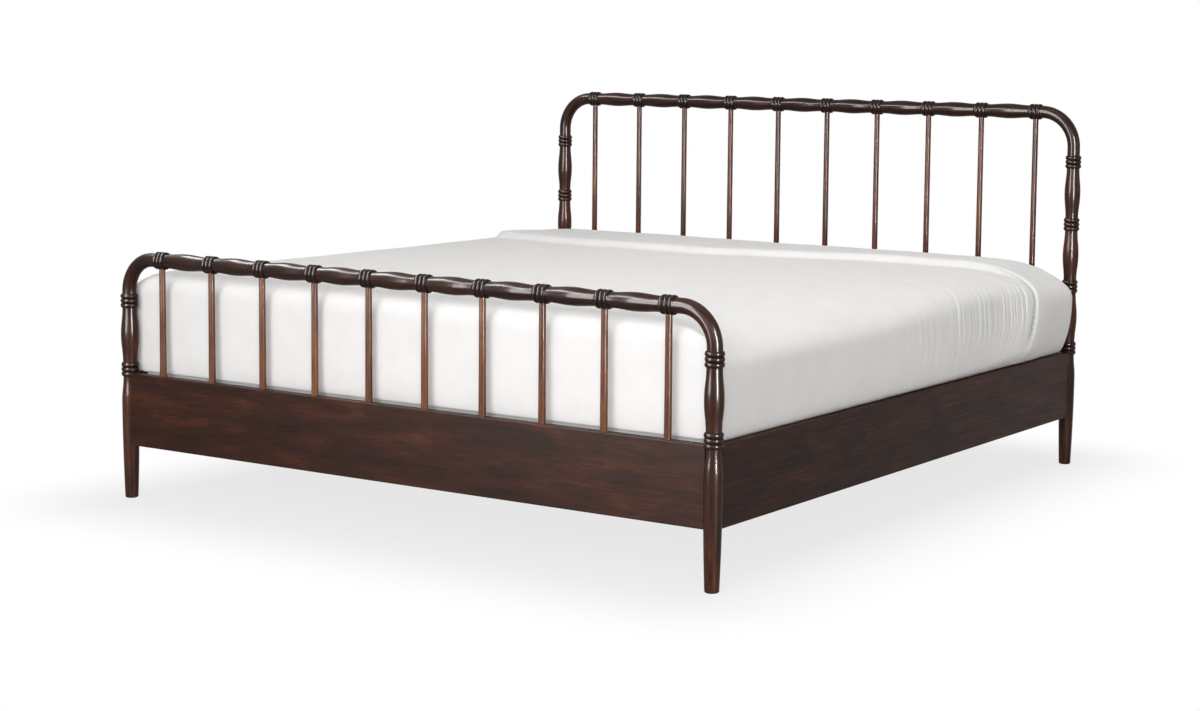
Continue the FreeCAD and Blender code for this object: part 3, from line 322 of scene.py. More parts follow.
def collar_masks(add, axes, along, first, spacing, centre):
    """Masks of a turned piece's collars and of the grooves in them."""
    wood = bpy.context.scene.bed_wood
    size = add(MATH, [axes[along]], operation="ABSOLUTE")
    past_first = add(MATH, [size, first], operation="SUBTRACT")
    distance = add(MATH, [past_first, spacing / 2], operation="PINGPONG")
    outer, inner = wood.collar_reach + 0.0015, wood.collar_reach - 0.0005
    collar = add("ShaderNodeMapRange", [distance, outer, inner], interpolation_type="SMOOTHSTEP")
    if along == "Z":
        # A post's leg has no collars.
        leg_top = first - 1.5 * wood.collar_reach
        above = add(MATH, [axes["Z"], leg_top], operation="GREATER_THAN")
        collar = add(MATH, [collar, above], operation="MULTIPLY")
    parts = []
    for axis, value in centre.items():
        part = add(MATH, [axes[axis]], operation="ABSOLUTE")
        parts.append(add(MATH, [part, value], operation="SUBTRACT"))
    offset = add(COMBINE, parts)
    radius = add(VECTOR_MATH, [offset], out="Value", operation="LENGTH")
    margin = 0.0006
    bead, floor = wood.bead_radius - margin, wood.groove_radius + margin
    deep = add("ShaderNodeMapRange", [radius, bead, floor], interpolation_type="SMOOTHSTEP")
    return collar, add(MATH, [collar, deep], operation="MULTIPLY")


def stained_wood(form, grain, collars=None, bend=None, lift=-0.06, glued=False):
    """Walnut-stained maple: grain runs along an axis or a bend, lift wipes the stain thinner; on the spindles
    it is partly painted light.
    """
    wood = bpy.context.scene.bed_wood
    material, add, shader = new_material(f"Walnut-stained maple, {form}")
    axes, vector = grain_coordinates(add, grain, bend)
    clouds = streaks(add, vector, size=60, stretch=4, detail=3, distortion=0.5)
    bands = streaks(add, vector, size=5, stretch=26, detail=3, distortion=0.2)
    # A fibre is about 0.3 mm wide; it is drawn 1.4 mm wide so that it shows.
    fibres = streaks(add, vector, size=1.4, stretch=22, detail=2)
    terms = [(clouds, 0.48), (bands, 0.36), (fibres, 0.16)]
    if glued:
        terms = [(clouds, 0.46), (bands, 0.30), (fibres, 0.17), (stave_tones(add, axes, grain), 0.07)]
    colour = add(
        "ShaderNodeValToRGB", [weighted_sum(add, terms, lift)],
        stops=[(0.34, wood.dark), (0.49, wood.body), (0.62, wood.chestnut), (0.82, wood.light)],
    )
    rough = add("ShaderNodeMapRange", [bands, 0.3, 0.7, wood.gloss + 0.04, wood.gloss - 0.04])
    if collars:
        collar, groove = collar_masks(add, axes, *collars)
        # The collars are darkened towards the dark streaks, and the grooves between their beads almost to black.
        for mask, share, stain in ((collar, 0.45, wood.dark), (groove, 0.9, wood.groove)):
            weight = add(MATH, [mask, share], operation="MULTIPLY")
            colour = add("ShaderNodeMix", {0: weight, 6: colour, 7: (*stain, 1)}, out=2, data_type="RGBA")
        rough = add(MATH, [groove, 0.2, rough], operation="MULTIPLY_ADD")
    height = weighted_sum(add, [(fibres, 0.5), (bands, 0.5)])
    bump = add("ShaderNodeBump", {"Height": height, "Strength": 0.12, "Distance": 0.0005})
    fill(shader, {
        "Base Color": colour, "Roughness": rough, "Normal": bump, "Coat Roughness": 0.15,
        "Specular IOR Level": 0.05 if glued else 0.03, "Coat Weight": 0 if glued else 0.15,
    })
    return material


def bare_wood(name, grain, pale, dark):
    """Planed bare wood: straight pale grain with thin darker lines and a dull surface."""
    material, add, shader = new_material(name)
    _, vector = grain_coordinates(add, grain)
    bands = streaks(add, vector, size=7, stretch=30, detail=3, distortion=0.2)
    fibres = streaks(add, vector, size=1.2, stretch=30, detail=2)
    tone = weighted_sum(add, [(bands, 0.75), (fibres, 0.25)])
    colour = add("ShaderNodeValToRGB", [tone], stops=[(0.42, dark), (0.54, pale)])
    bump = add("ShaderNodeBump", {"Height": tone, "Strength": 0.2, "Distance": 0.0006})
    fill(shader, {"Base Color": colour, "Normal": bump, "Roughness": 0.62})
    return material


def soft_metal(name, colour):
    """Zinc-plated pressed steel or turned brass: softly blurred, with a fine cloudy crystal look."""
    material, add, shader = new_material(name)
    place = add("ShaderNodeTexCoord", out="Object")
    crystals = add("ShaderNodeTexVoronoi", {"Vector": place, "Scale": per_mm(4)}, out="Color")
    level = add("ShaderNodeSeparateColor", [crystals])
    rough = add("ShaderNodeMapRange", {0: level, 3: 0.28, 4: 0.42})
    fill(shader, {"Base Color": (*colour, 1), "Roughness": rough, "Metallic": 1})
    return material


def moulded_plastic(name, colour):
    """Moulded polypropylene: matte black with a fine spark-eroded grain."""
    material, add, shader = new_material(name)
    place = add("ShaderNodeTexCoord", out="Object")
    grit = add("ShaderNodeTexNoise", {"Vector": place, "Scale": per_mm(1), "Detail": 2})
    bump = add("ShaderNodeBump", {"Height": grit, "Strength": 0.3, "Distance": 0.0002})
    fill(shader, {"Base Color": (*colour, 1), "Normal": bump, "Roughness": 0.55})
    return material


def woven_cotton(name, colour, thread, gathered=False):
    """Close-woven pale cloth: a soft bloom at grazing angles, faint creases and, if gathered, fine lines
    and a painted shade in the crease beside the ridge.
    """
    material, add, shader = new_material(name)
    flat = add("ShaderNodeUVMap", uv_map="Cut")
    # The threads are about 0.25 mm apart; they are drawn coarser so that they show close up. A wave texture
    # repeats every pi / 10 of its units.
    scale = per_mm(thread) * math.pi / 10
    warp, weft = (
        add("ShaderNodeTexWave", {"Vector": flat, "Scale": scale}, out="Fac", bands_direction=way) for way in "XY"
    )
    place = add("ShaderNodeTexCoord", out="Object")
    creases = add(
        "ShaderNodeTexNoise",
        {"Vector": place, "Scale": per_mm(70), "Detail": 3, "Roughness": 0.5, "Distortion": 0.3},
    )
    height = weighted_sum(add, [(warp, 0.01), (weft, 0.01), (creases, 0.5)])
    bump = add("ShaderNodeBump", {"Height": height, "Strength": 0.15, "Distance": 0.004})
    tone = weighted_sum(add, [(creases, 0.9), (warp, 0.05), (weft, 0.05)])
    shade, painted_crease_shade = ([share * part for part in colour] for share in (0.97, 0.3))
    tint = add("ShaderNodeValToRGB", [tone], stops=[(0.35, shade), (0.6, colour)])
    if gathered:
        lines = add("ShaderNodeAttribute", out="Vector", attribute_name="gathers")
        shown = add("ShaderNodeSeparateXYZ", [lines], out="Z")
        drawn = add(VECTOR_MATH, [lines, (1, 0.06, 0)], operation="MULTIPLY")
        puckers = add("ShaderNodeTexNoise", {"Vector": drawn, "Scale": per_mm(16), "Detail": 3, "Roughness": 0.6})
        puckers = add(MATH, [puckers, shown], operation="MULTIPLY")
        bump = add("ShaderNodeBump", {"Height": puckers, "Strength": 0.5, "Distance": 0.006, "Normal": bump})
        # Painted shade: the colour is darkened in the tight crease beside the ridge, where little light gets in.
        depth = add("ShaderNodeAttribute", out="Fac", attribute_name="crease")
        tint = add("ShaderNodeMix", {0: depth, 6: tint, 7: (*painted_crease_shade, 1)}, out=2, data_type="RGBA")
    fill(shader, {
        "Base Color": tint, "Normal": bump, "Roughness": 0.7, "Specular IOR Level": 0.1, "Sheen Weight": 0.1,
        "Sheen Roughness": 0.4,
    })
    return material


# The frame's carried-over wood.
class BED_OT_turned_wood(bpy.types.Operator):
    """Stain the posts, elbows, top rails and spindles"""

    bl_idname = "bed.turned_wood"
    bl_label = "Turned wood"

    def execute(self, context):
        wood = context.scene.bed_wood
        axis = {"X": POST.x, "Y": POST.y}
        collars = ("Z", RAIL_TOP + wood.first_collar, wood.collar_spacing, axis)
        post = stained_wood("turned post", "Z", collars, lift=0)
        # Partly painted light: the spindles are wiped lighter than the posts, the foot ones most, as they catch the
        # front light before the bright sheet.
        for board, radius, lift in zip(BOARDS, (wood.head_bend, wood.foot_bend), (0.1, 0.19)):
            rail_z = middle(f"{board}_top_rail").z
            axis = {"Y": POST.y, "Z": rail_z}
            collars = ("X", SPINDLE_REACH, RAIL_COLLAR_SPACING, axis)
            bend = (radius, POST.x - radius, rail_z - radius)
            rail = stained_wood(f"turned {board} rail", "X", collars, lift=-0.1)
            spindle = stained_wood(f"turned {board} spindle", "Z", lift=lift)
            elbow = stained_wood(f"bent {board} elbow", "X", bend=bend)
            dress(rail, f"{board}_top_rail")
            dress(post, *(f"{board}_post_{side}" for side in SIDES))
            dress(elbow, *(f"{board}_elbow_{side}" for side in SIDES))
            dress(spindle, *(f"{board}_spindle_{number:02d}" for number in range(1, SPINDLE_COUNT + 1)))
        return {"FINISHED"}


class BED_OT_planks(bpy.types.Operator):
    """Stain the panels and side rails"""

    bl_idname = "bed.planks"
    bl_label = "Planks"

    def execute(self, context):
        panel = stained_wood("glued-up panel", "X", lift=-0.03, glued=True)
        rail = stained_wood("glued-up side rail", "Y", lift=-0.08, glued=True)
        dress(panel, *(f"{board}_panel" for board in BOARDS))
        dress(rail, *(f"side_rail_{side}" for side in SIDES))
        return {"FINISHED"}


# The deck and its fixings.
def made_by_nodes(name, tree, values, start=None):
    """Plain mesh of a geometry-node tree run with the values of its named inputs."""
    maker = new_object(name, start or bpy.data.meshes.new(name))
    modifier = maker.modifiers.new("Maker", "NODES")
    modifier.node_group = tree
    for item in tree.interface.items_tree:
        if item.in_out == "INPUT" and item.name in values:
            modifier[item.identifier] = values[item.name]
    evaluated = maker.evaluated_get(bpy.context.evaluated_depsgraph_get())
    mesh = bpy.data.meshes.new_from_object(evaluated)
    mesh.name = name
    bpy.data.objects.remove(maker)
    return mesh


def new_tree(name, sockets):
    """A geometry-node tree with one geometry output, the function that adds a node to it, and its named inputs."""
    tree = bpy.data.node_groups.new(name, "GeometryNodeTree")
    for label, kind in sockets.items():
        tree.interface.new_socket(label, in_out="INPUT", socket_type=f"NodeSocket{kind}")
    tree.interface.new_socket("Geometry", in_out="OUTPUT", socket_type="NodeSocketGeometry")
    return tree, partial(node, tree), node(tree, "NodeGroupInput", out=None).outputs


def end_tree(tree, geometry, material):
    """Realize the instances, set the material and end the tree."""
    real = node(tree, "GeometryNodeRealizeInstances", [geometry])
    dressed = node(tree, "GeometryNodeSetMaterial", {"Geometry": real, "Material": material})
    node(tree, "NodeGroupOutput", [dressed], out=None)
    return tree


def slat_tree():
    """Slats with rounded edges in a row along the bed."""
    tree, add, sizes = new_tree(
        "Slats",
        {"Length": "Float", "Width": "Float", "Thickness": "Float", "Edge": "Float", "Count": "Int",
         "First": "Vector", "Step": "Vector", "Material": "Material"},
    )
    outline = add("GeometryNodeCurvePrimitiveQuadrilateral", {"Width": sizes["Width"], "Height": sizes["Thickness"]})
    rounded = add("GeometryNodeFilletCurve", {"Curve": outline, "Radius": sizes["Edge"], "Count": 4}, mode="POLY")
    ends = [add(MATH, [sizes["Length"], share], operation="MULTIPLY") for share in (-0.5, 0.5)]
    start, end = (add(COMBINE, [place]) for place in ends)
    line = add("GeometryNodeCurvePrimitiveLine", {"Start": start, "End": end})
    slat = add("GeometryNodeCurveToMesh", {"Curve": line, "Profile Curve": rounded, "Fill Caps": True})
    row = {"Count": sizes["Count"], "Start Location": sizes["First"], "Offset": sizes["Step"]}
    slats = add("GeometryNodeInstanceOnPoints", {"Points": add("GeometryNodeMeshLine", row), "Instance": slat})
    return end_tree(tree, slats, sizes["Material"])


def screw_tree():
    """Countersunk screws with a cross recess, one on each point, facing along its attribute."""
    tree, add, sizes = new_tree(
        "Screws",
        {"Places": "Geometry", "Head Radius": "Float", "Head Height": "Float", "Shank Radius": "Float",
         "Length": "Float", "Material": "Material"},
    )
    head = add(
        "GeometryNodeMeshCone",
        {"Vertices": 24, "Radius Top": sizes["Head Radius"], "Radius Bottom": sizes["Shank Radius"],
         "Depth": sizes["Head Height"]},
    )
    drop = add(MATH, [sizes["Head Height"], -1], operation="MULTIPLY")
    head = add("GeometryNodeTransform", {"Geometry": head, "Translation": add(COMBINE, {"Z": drop})})
    # Two crossed bars cut the recess.
    wide, narrow, deep = (
        add(MATH, [sizes[name], share], operation="MULTIPLY")
        for name, share in (("Head Radius", 1.15), ("Head Radius", 0.26), ("Head Height", 1.3))
    )
    for x, y in ((wide, narrow), (narrow, wide)):
        bar = add("GeometryNodeMeshCube", {"Size": add(COMBINE, [x, y, deep])})
        head = add("GeometryNodeMeshBoolean", [head, bar], operation="DIFFERENCE", solver="EXACT")
    shank = add("GeometryNodeMeshCylinder", {"Vertices": 12, "Radius": sizes["Shank Radius"], "Depth": sizes["Length"]})
    sink = add(MATH, [sizes["Length"], -0.5, drop], operation="MULTIPLY_ADD")
    shank = add("GeometryNodeTransform", {"Geometry": shank, "Translation": add(COMBINE, {"Z": sink})})
    screw = add("GeometryNodeJoinGeometry", [head])
    fill(screw.node, [shank])
    facing = add("GeometryNodeInputNamedAttribute", {"Name": "facing"}, data_type="FLOAT_VECTOR")
    turn = add("FunctionNodeAlignRotationToVector", {"Vector": facing}, axis="Z")
    screws = add("GeometryNodeInstanceOnPoints", {"Points": sizes["Places"], "Instance": screw, "Rotation": turn})
    return end_tree(tree, screws, sizes["Material"])


class BED_OT_deck(bpy.types.Operator):
    """Make the slats and finish the cleats, beam, centre legs and dowels"""

    bl_idname = "bed.deck"
    bl_label = "Deck"

    def execute(self, context):
        wood, deck = context.scene.bed_wood, context.scene.bed_deck
        low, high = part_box("slats")
        first = low.y + deck.slat_width / 2
        step = (high.y - low.y - deck.slat_width) / (deck.slat_count - 1)
        mesh = made_by_nodes(
            "slats_eased", slat_tree(),
            {"Length": high.x - low.x, "Width": deck.slat_width, "Thickness": high.z - low.z,
             "Edge": deck.slat_edge, "Count": deck.slat_count, "First": (0, first, (low.z + high.z) / 2),
             "Step": (0, step, 0), "Material": bare_wood("Pine, planed slat", "X", wood.pine, wood.pine_dark)},
        )
        new_piece("slats_eased", mesh, "frame", ["slats"])
        along = bare_wood("Pine, planed beam", "Y", wood.pine, wood.pine_dark)
        upright = bare_wood("Pine, planed leg", "Z", wood.pine, wood.pine_dark)
        dowel = bare_wood("Beech, turned dowel", "Z", wood.beech, wood.beech_dark)
        dress(along, "slat_cleat_left", "slat_cleat_right", "centre_beam")
        dress(upright, *(f"centre_leg_{number}" for number in LEGS))
        dress(dowel, "elbow_dowels", "panel_dowels", "rail_dowels")
        return {"FINISHED"}


def parts_of(node_name):
    """Lowest corners and highest corners of a CAD node's separate solids."""
    mesh = bmesh.new()
    mesh.from_mesh(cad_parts[node_name].data)
    bmesh.ops.remove_doubles(mesh, verts=mesh.verts, dist=1e-6)
    boxes, left = [], set(mesh.verts)
    while left:
        places, reached = [], [left.pop()]
        while reached:
            vertex = reached.pop()
            places.append(vertex.co)
            near = {link.other_vert(vertex) for link in vertex.link_edges} & left
            left -= near
            reached += near
        boxes.append((*np.min(places, 0), *np.max(places, 0)))
    mesh.free()
    return np.hsplit(np.array(sorted(boxes)), 2)


def screw_places(node_name):
    """Mesh with a point at the middle of each screw's head and the way that the head faces, and a screw's length."""
    low, high = parts_of(node_name)
    size, centre = high - low, (low + high) / 2
    lengthwise = np.eye(3)[size.argmax(1)]
    # Heads face the inside of the bed, or up on the slats.
    ways = -np.sign(centre) * lengthwise
    ways[:, 2] = lengthwise[:, 2]
    mesh = bpy.data.meshes.new(f"{node_name}_places")
    mesh.from_pydata((centre + ways * size / 2).tolist(), [], [])
    facing = mesh.attributes.new("facing", "FLOAT_VECTOR", "POINT")
    facing.data.foreach_set("vector", ways.astype(np.float32).ravel())
    return mesh, float(size.max())


class BED_OT_fixings(bpy.types.Operator):
    """Make the screws and finish the brackets, hangers, bolts, inserts and levellers"""

    bl_idname = "bed.fixings"
    bl_label = "Fixings"

    def execute(self, context):
        deck = context.scene.bed_deck
        steel = soft_metal("Zinc-plated steel, pressed", deck.zinc)
        brass = soft_metal("Brass, turned", deck.brass)
        plastic = moulded_plastic("Black polypropylene, moulded", deck.plastic)
        tree = screw_tree()
        for name in ("cleat_screws", "slat_screws", "bracket_screws", "hanger_screws"):
            places, length = screw_places(name)
            mesh = made_by_nodes(
                f"{name}_crosshead", tree,
                {"Head Radius": deck.screw_head, "Head Height": deck.screw_head_height,
                 "Shank Radius": deck.screw_shank, "Length": length - deck.screw_head_height,
                 "Material": steel},
                places,
            )
            new_piece(f"{name}_crosshead", mesh, "frame", [name])
        dress(steel, "corner_brackets", "beam_hangers", "leg_bolts")
        dress(steel, *(f"leveller_stud_{number}" for number in LEGS))
        dress(brass, "leg_inserts")
        dress(plastic, *(f"leveller_pad_{number}" for number in LEGS))
        return {"FINISHED"}


# The mattress and its sheet share one form: drawn in at the rails, bellied above them, with soft shoulders and a
# crowned top. On it p and q run from -1 to 1 across and along the bed, and u and v are metres on the flat cut.
def bell(distance, width):
    """1 at no distance, falling off to both sides over a width."""
    return np.exp(-((distance / width) ** 2))


def ramp(low, high, value):
    """0 at low and 1 at high, with a smooth change between them."""
    share = np.clip((value - low) / (high - low), 0, 1)
    return share * share * (3 - 2 * share)


def graded_lines(spans):
    """Places from -1 to 1 along a side, with (end, count) spans of even steps."""
    places = [-1.0]
    for end, count in spans:
        places += list(np.linspace(places[-1], end, count + 1)[1:])
    return np.array(places)


def rounded_place(p, q, width, length, corner):
    """Point of a rounded rectangle for a point p, q of the unit square's edge, and its turn from side to end."""
    x, y = np.abs(p) * width, np.abs(q) * length
    u = np.clip((x - (width - corner)) / corner, 0, 1)
    v = np.clip((y - (length - corner)) / corner, 0, 1)
    turn = np.where(u >= v, v, 2 - u) / 2
    bent = (u > 0) & (v > 0)
    angle = turn * math.pi / 2
    x = np.where(bent, width - corner + corner * np.cos(angle), x)
    y = np.where(bent, length - corner + corner * np.sin(angle), y)
    return np.copysign(x, p), np.copysign(y, q), turn


def soft_levels(p, q, grow, shoulder_rows, belly_rows, lower_rows):
    """Levels from the top's edge to the hem over places of the unit square's edge:
    (half width, half length, corner, height on the sides, height on the ends)."""
    soft = bpy.context.scene.bed_sheet
    width = MATTRESS_HIGH.x - soft.side_belly + grow
    length = MATTRESS_HIGH.y - soft.end_belly + grow
    top = RAIL_TOP + soft.belly_rise + soft.shoulder_rise + grow
    foot = RAIL_TOP + soft.rail_gap
    right = p > 0
    by_head = ramp(0.6, 0.9, q)
    side_belly = soft.side_belly + soft.bulge * np.where(right, 0.15 + 0.85 * ramp(0.55, 0.9, q), 1)
    side_reach = np.where(right, soft.side_shoulder, soft.left_shoulder)
    side_rise = np.where(right, soft.shoulder_rise - 0.015 * bell(q - 0.5, 0.35), soft.left_rise)
    end_reach = np.where(q > 0, soft.head_shoulder, soft.foot_shoulder)
    end_rise = np.where(q > 0, soft.shoulder_rise, soft.foot_rise)
    # The right side's upper edge gets crisper, and its belly fuller, from the foot to the ridge.
    crisp = np.where(right, 1 - 0.3 * ramp(-0.4, 0.4, q) * ramp(0.8, 0.6, q), 1)
    full = np.where(right, 0.7 * ramp(-0.9, 0.0, q) * ramp(0.85, 0.6, q), 0)
    # How much of the belly lies on the rails, and how late it swells above them.
    rest, end_rest = np.where(right, 0.6 - 0.4 * by_head, 0.85), 0.3
    late, end_late = np.where(right, 0.4 + 0.3 * by_head, 0.4), 0.4
    levels = []
    for angle in np.linspace(math.pi / 2, 0, shoulder_rows + 1):
        inset, drop = 1 - math.cos(angle), 1 - math.sin(angle)
        side_inset, side_drop = 1 - (1 - inset) ** crisp, 1 - (1 - drop) ** crisp
        levels.append(
            (width + side_belly - side_inset * side_reach, length + soft.end_belly - inset * end_reach,
             soft.corner + inset * end_reach / 2, top - side_drop * side_rise, top - drop * end_rise)
        )
    for share in np.linspace(1, 0, belly_rows + 1)[1:] ** 1.4:
        swell = np.sin(share**late * math.pi / 2)
        side_swell = (rest + (1 - rest) * swell) * (1 + full * swell * (1 - share))
        end_swell = end_rest + (1 - end_rest) * math.sin(share**end_late * math.pi / 2)
        levels.append(
            (width + side_swell * side_belly, length + end_swell * soft.end_belly, soft.corner,
             foot + share * (top - side_rise - foot), foot + share * (top - end_rise - foot))
        )
    ease = soft.lower_ease
    for height in (foot, *np.linspace(RAIL_TOP, MATTRESS_LOW.z + 2 * ease, lower_rows)[1:], MATTRESS_LOW.z):
        inset = ease if height == MATTRESS_LOW.z else 0
        levels.append((width - inset, length - inset, soft.corner, height, height))
    return levels


def band(first, second):
    """Faces between two rings of vertices."""
    return np.stack([first, second, np.roll(second, -1), np.roll(first, -1)], -1)


def soft_form(p_lines, q_lines, grow, rows):
    """Vertices, faces and flat-cut places of the form's top and sides, and the hem's vertices."""
    p, q = np.meshgrid(p_lines, q_lines)
    ring = np.maximum(np.maximum(np.abs(p), np.abs(q)), 1e-9)
    width, length, corner, height, _ = soft_levels(p / ring, q / ring, grow, 1, 1, 1)[0]
    x, y, _ = rounded_place(p / ring, q / ring, ring * width, ring * length, ring * corner)
    z = height + bpy.context.scene.bed_sheet.crown * (1 - p**2) * (1 - q**2)
    points = [np.stack([x, y, z], -1).reshape(-1, 3)]
    cut = [points[0][:, :2]]
    index = np.arange(p.size).reshape(p.shape)
    quads = [np.stack([index[:-1, :-1], index[:-1, 1:], index[1:, 1:], index[1:, :-1]], -1).reshape(-1, 4)]
    edge = np.concatenate([index[0, :-1], index[:-1, -1], index[-1, :0:-1], index[:0:-1, 0]])
    edge_p, edge_q = p.ravel()[edge], q.ravel()[edge]
    outward = np.stack([np.where(np.abs(side) == 1, side, 0) for side in (edge_p, edge_q)], -1)
    above, last, last_cut = edge, points[0][edge], cut[0][edge]
    count = p.size
    for width, length, corner, side_height, end_height in soft_levels(edge_p, edge_q, grow, *rows)[1:]:
        x, y, turn = rounded_place(edge_p, edge_q, width, length, corner)
        place = np.stack([x, y, side_height + (end_height - side_height) * ramp(0, 1, turn)], -1)
        last_cut = last_cut + outward * np.linalg.norm(place - last, axis=1)[:, None]
        below = np.arange(count, count + len(edge))
        quads.append(band(above, below))
        points.append(place)
        cut.append(last_cut)
        above, last = below, place
        count += len(edge)
    return np.concatenate(points), np.concatenate(quads), np.concatenate(cut), above


def mesh_from(name, points, quads, cut):
    """Smooth mesh with its flat-cut places as a UV map."""
    mesh = bpy.data.meshes.new(name)
    mesh.from_pydata(points.tolist(), [], quads.tolist())
    mesh.validate()
    mesh.shade_smooth()
    layer = mesh.uv_layers.new(name="Cut")
    corners = np.zeros(len(mesh.loops), np.int32)
    mesh.loops.foreach_get("vertex_index", corners)
    layer.data.foreach_set("uv", cut[corners].astype(np.float32).ravel())
    return mesh


def normals_of(points, quads):
    """Vertex normals of a quad mesh."""
    first = points[quads[:, 2]] - points[quads[:, 0]]
    second = points[quads[:, 3]] - points[quads[:, 1]]
    face = np.cross(first, second)
    total = np.zeros_like(points)
    for corner in range(4):
        np.add.at(total, quads[:, corner], face)
    return total / np.maximum(np.linalg.norm(total, axis=1), 1e-12)[:, None]


def up_from_rail(points, cut, axis, hand):
    """Distance up the cloth from the rails' top, on the side or end that a hand of +1 or -1 names."""
    reach = hand * cut[:, axis]
    foot = RAIL_TOP + bpy.context.scene.bed_sheet.rail_gap
    near_middle = np.abs(points[:, 1 - axis]) < 0.5
    on_rail = reach[near_middle & (np.abs(points[:, 2] - foot) < 1e-4) & (hand * points[:, axis] > 0.9)]
    outer = on_rail[on_rail < on_rail.mean()]
    return outer.mean() - reach


def crease_place(up):
    """Where the crease that the ridge ends in lies along the bed, by the height up the side."""
    top = bpy.context.scene.bed_sheet.ridge_place + 0.25
    straight_above, pull = 0.2, 2.1
    return top - pull * np.minimum(up - straight_above, 0) ** 2


def head_ridge(points, cut):
    """The ridge that crosses the sheet before the head and ends in a crease down each side: how far each
    vertex is raised, and how deep in the crease it lies, from 0 to 1, which sets the painted shade in the crease."""
    soft = bpy.context.scene.bed_sheet
    u, v = cut.T
    # The ridge is nearest the foot left of the middle, and bows to the head up to a limit.
    nearest, limit = -0.12, 0.26
    bow = np.where(u > nearest, 0.52, 0.27) * (u - nearest) ** 2
    line = soft.ridge_place + ((bow + 1e-3) ** -4 + limit**-4) ** -0.25
    crease_half, crease_shift = 0.0045, 0.012
    total = depth = 0.0
    for hand in (-1, 1):
        up = up_from_rail(points, cut, 0, hand)
        crease = crease_place(up)
        over = ramp(0.17, 0.36, up)
        away = v - crease - (line - crease) * over
        slope = crease_shift + 0.043 * over
        ridge = soft.ridge_height * ramp(-slope, 0.0, away) * (1 - 0.6 * ramp(0.0, 0.28, away))
        puff = soft.crease_depth * ramp(-0.25, -0.02, away) * ramp(0.15, -0.01, away) * (1 - over)
        # fold both cuts the crease into the cloth and masks its painted shade.
        fold = bell(away + crease_shift, crease_half) * ramp(0.04, 0.1, up) * ramp(0.34, 0.24, up)
        here = hand * u >= 0
        total += here * (ridge * (0.2 + 0.8 * over) + puff) * (1 - fold) * ramp(0.0, 0.03, up)
        depth += here * fold
    return total * ramp(0.0, 0.05, up_from_rail(points, cut, 1, 1)), depth


def gather_bend(up):
    """How far a gather leans to the head on its way up from the rail."""
    lean, lean_above = 0.4, 0.22
    sweep, sweep_below = 0.09, 0.15
    return lean * np.clip(up - lean_above, 0, None) - sweep * np.clip(1 - up / sweep_below, 0, None) ** 1.6


def side_gathers(points, cut, count=72, seed=11):
    """Gathers that start by the ridge, bend over the shoulder and run down the long sides."""
    soft = bpy.context.scene.bed_sheet
    chance = np.random.default_rng(seed)
    v = cut[:, 1]
    head_end, spread = 0.64, 0.86
    total = 0.0
    for hand in (1, -1):
        up = up_from_rail(points, cut, 0, hand)
        for number in range(count):
            fine = number % 4
            place = head_end - spread * chance.random() ** 1.3
            line = place + chance.uniform(0.7, 1.3) * gather_bend(up)
            wide = chance.uniform(0.003, 0.005) if fine else chance.uniform(0.005, 0.009)
            depth = soft.gather_depth * chance.uniform(0.3, 1.0)
            depth *= (0.4 + 0.6 * ramp(-0.2, 0.3, place)) * (1 - 0.45 * ramp(0.4, 0.6, place))
            low = chance.uniform(0.04, 0.12)
            end = chance.uniform(0.14, 0.26) if fine else chance.uniform(0.2, 0.36)
            fade = ramp(low, low + 0.04, up) * ramp(end + 0.08, end - 0.08, up)
            away = v - line
            total += depth * fade * (0.6 * bell(away, wide) - bell(away + 1.4 * wide, 0.7 * wide))
    return total


def gather_lines(points, cut):
    """For each vertex: its place along the gathers, its height up them and how much they show there."""
    u, v = cut.T
    up = np.where(u > 0, up_from_rail(points, cut, 0, 1), up_from_rail(points, cut, 0, -1))
    shown = ramp(0.0, 0.02, up) * ramp(0.42, 0.2, up) * ramp(-0.35, 0.35, v)
    shown *= ramp(-0.015, -0.07, v - crease_place(up))
    return np.stack([v - gather_bend(up), up, shown], -1)


def slanting_folds(points, cut, seed=5):
    """Slanting folds on the foot end, where the sheet is tucked in, and short ones by its left corner."""
    chance = np.random.default_rng(seed)
    draw = chance.uniform
    u = cut[:, 0]
    up = up_from_rail(points, cut, 1, -1)
    total = 0.0
    # Each fold: its start across the bed, its height there, its slope and its reach.
    folds = [(draw(-0.1, 0.86), draw(0.0, 0.05), draw(0.5, 1.1), draw(0.08, 0.24)) for _ in range(16)]
    folds += [(draw(-0.99, -0.94), draw(0.12, 0.24), 0.35, 0.08) for _ in range(4)]
    folds += [(draw(-0.95, -0.3), draw(0.0, 0.03), -0.3, 0.10) for _ in range(5)]
    for start, low, slope, reach in folds:
        share = np.clip((u - start) / reach, 0, 1)
        away = (up - low - slope * (u - start)) / math.hypot(1, slope)
        wide = draw(0.007, 0.013)
        depth = draw(0.0015, 0.0035)
        total += depth * np.sin(share * math.pi) ** 0.7 * bell(away, np.where(away < 0, 0.6 * wide, wide))
    return total * ramp(0.0, 0.02, up) * (up < 0.45)


def slack(cut, seed=3):
    """Broad, faint waves in the cloth, and ripples on the far side of the top."""
    chance = np.random.default_rng(seed)
    u, v = cut.T
    base, wave_height, ripple_height = 0.0012, 0.0004, 0.0010
    total = 0.0
    for _ in range(12):
        way = chance.normal(size=2) * 6
        total += np.sin(u * way[0] + v * way[1] + chance.uniform(0, 6.28))
    ripples = np.sin(44 * (0.5 * u + v) + 3 * np.sin(4 * v)) * bell(u + 0.62, 0.25) * bell(v - 0.2, 0.4)
    return base + wave_height * total + ripple_height * ripples


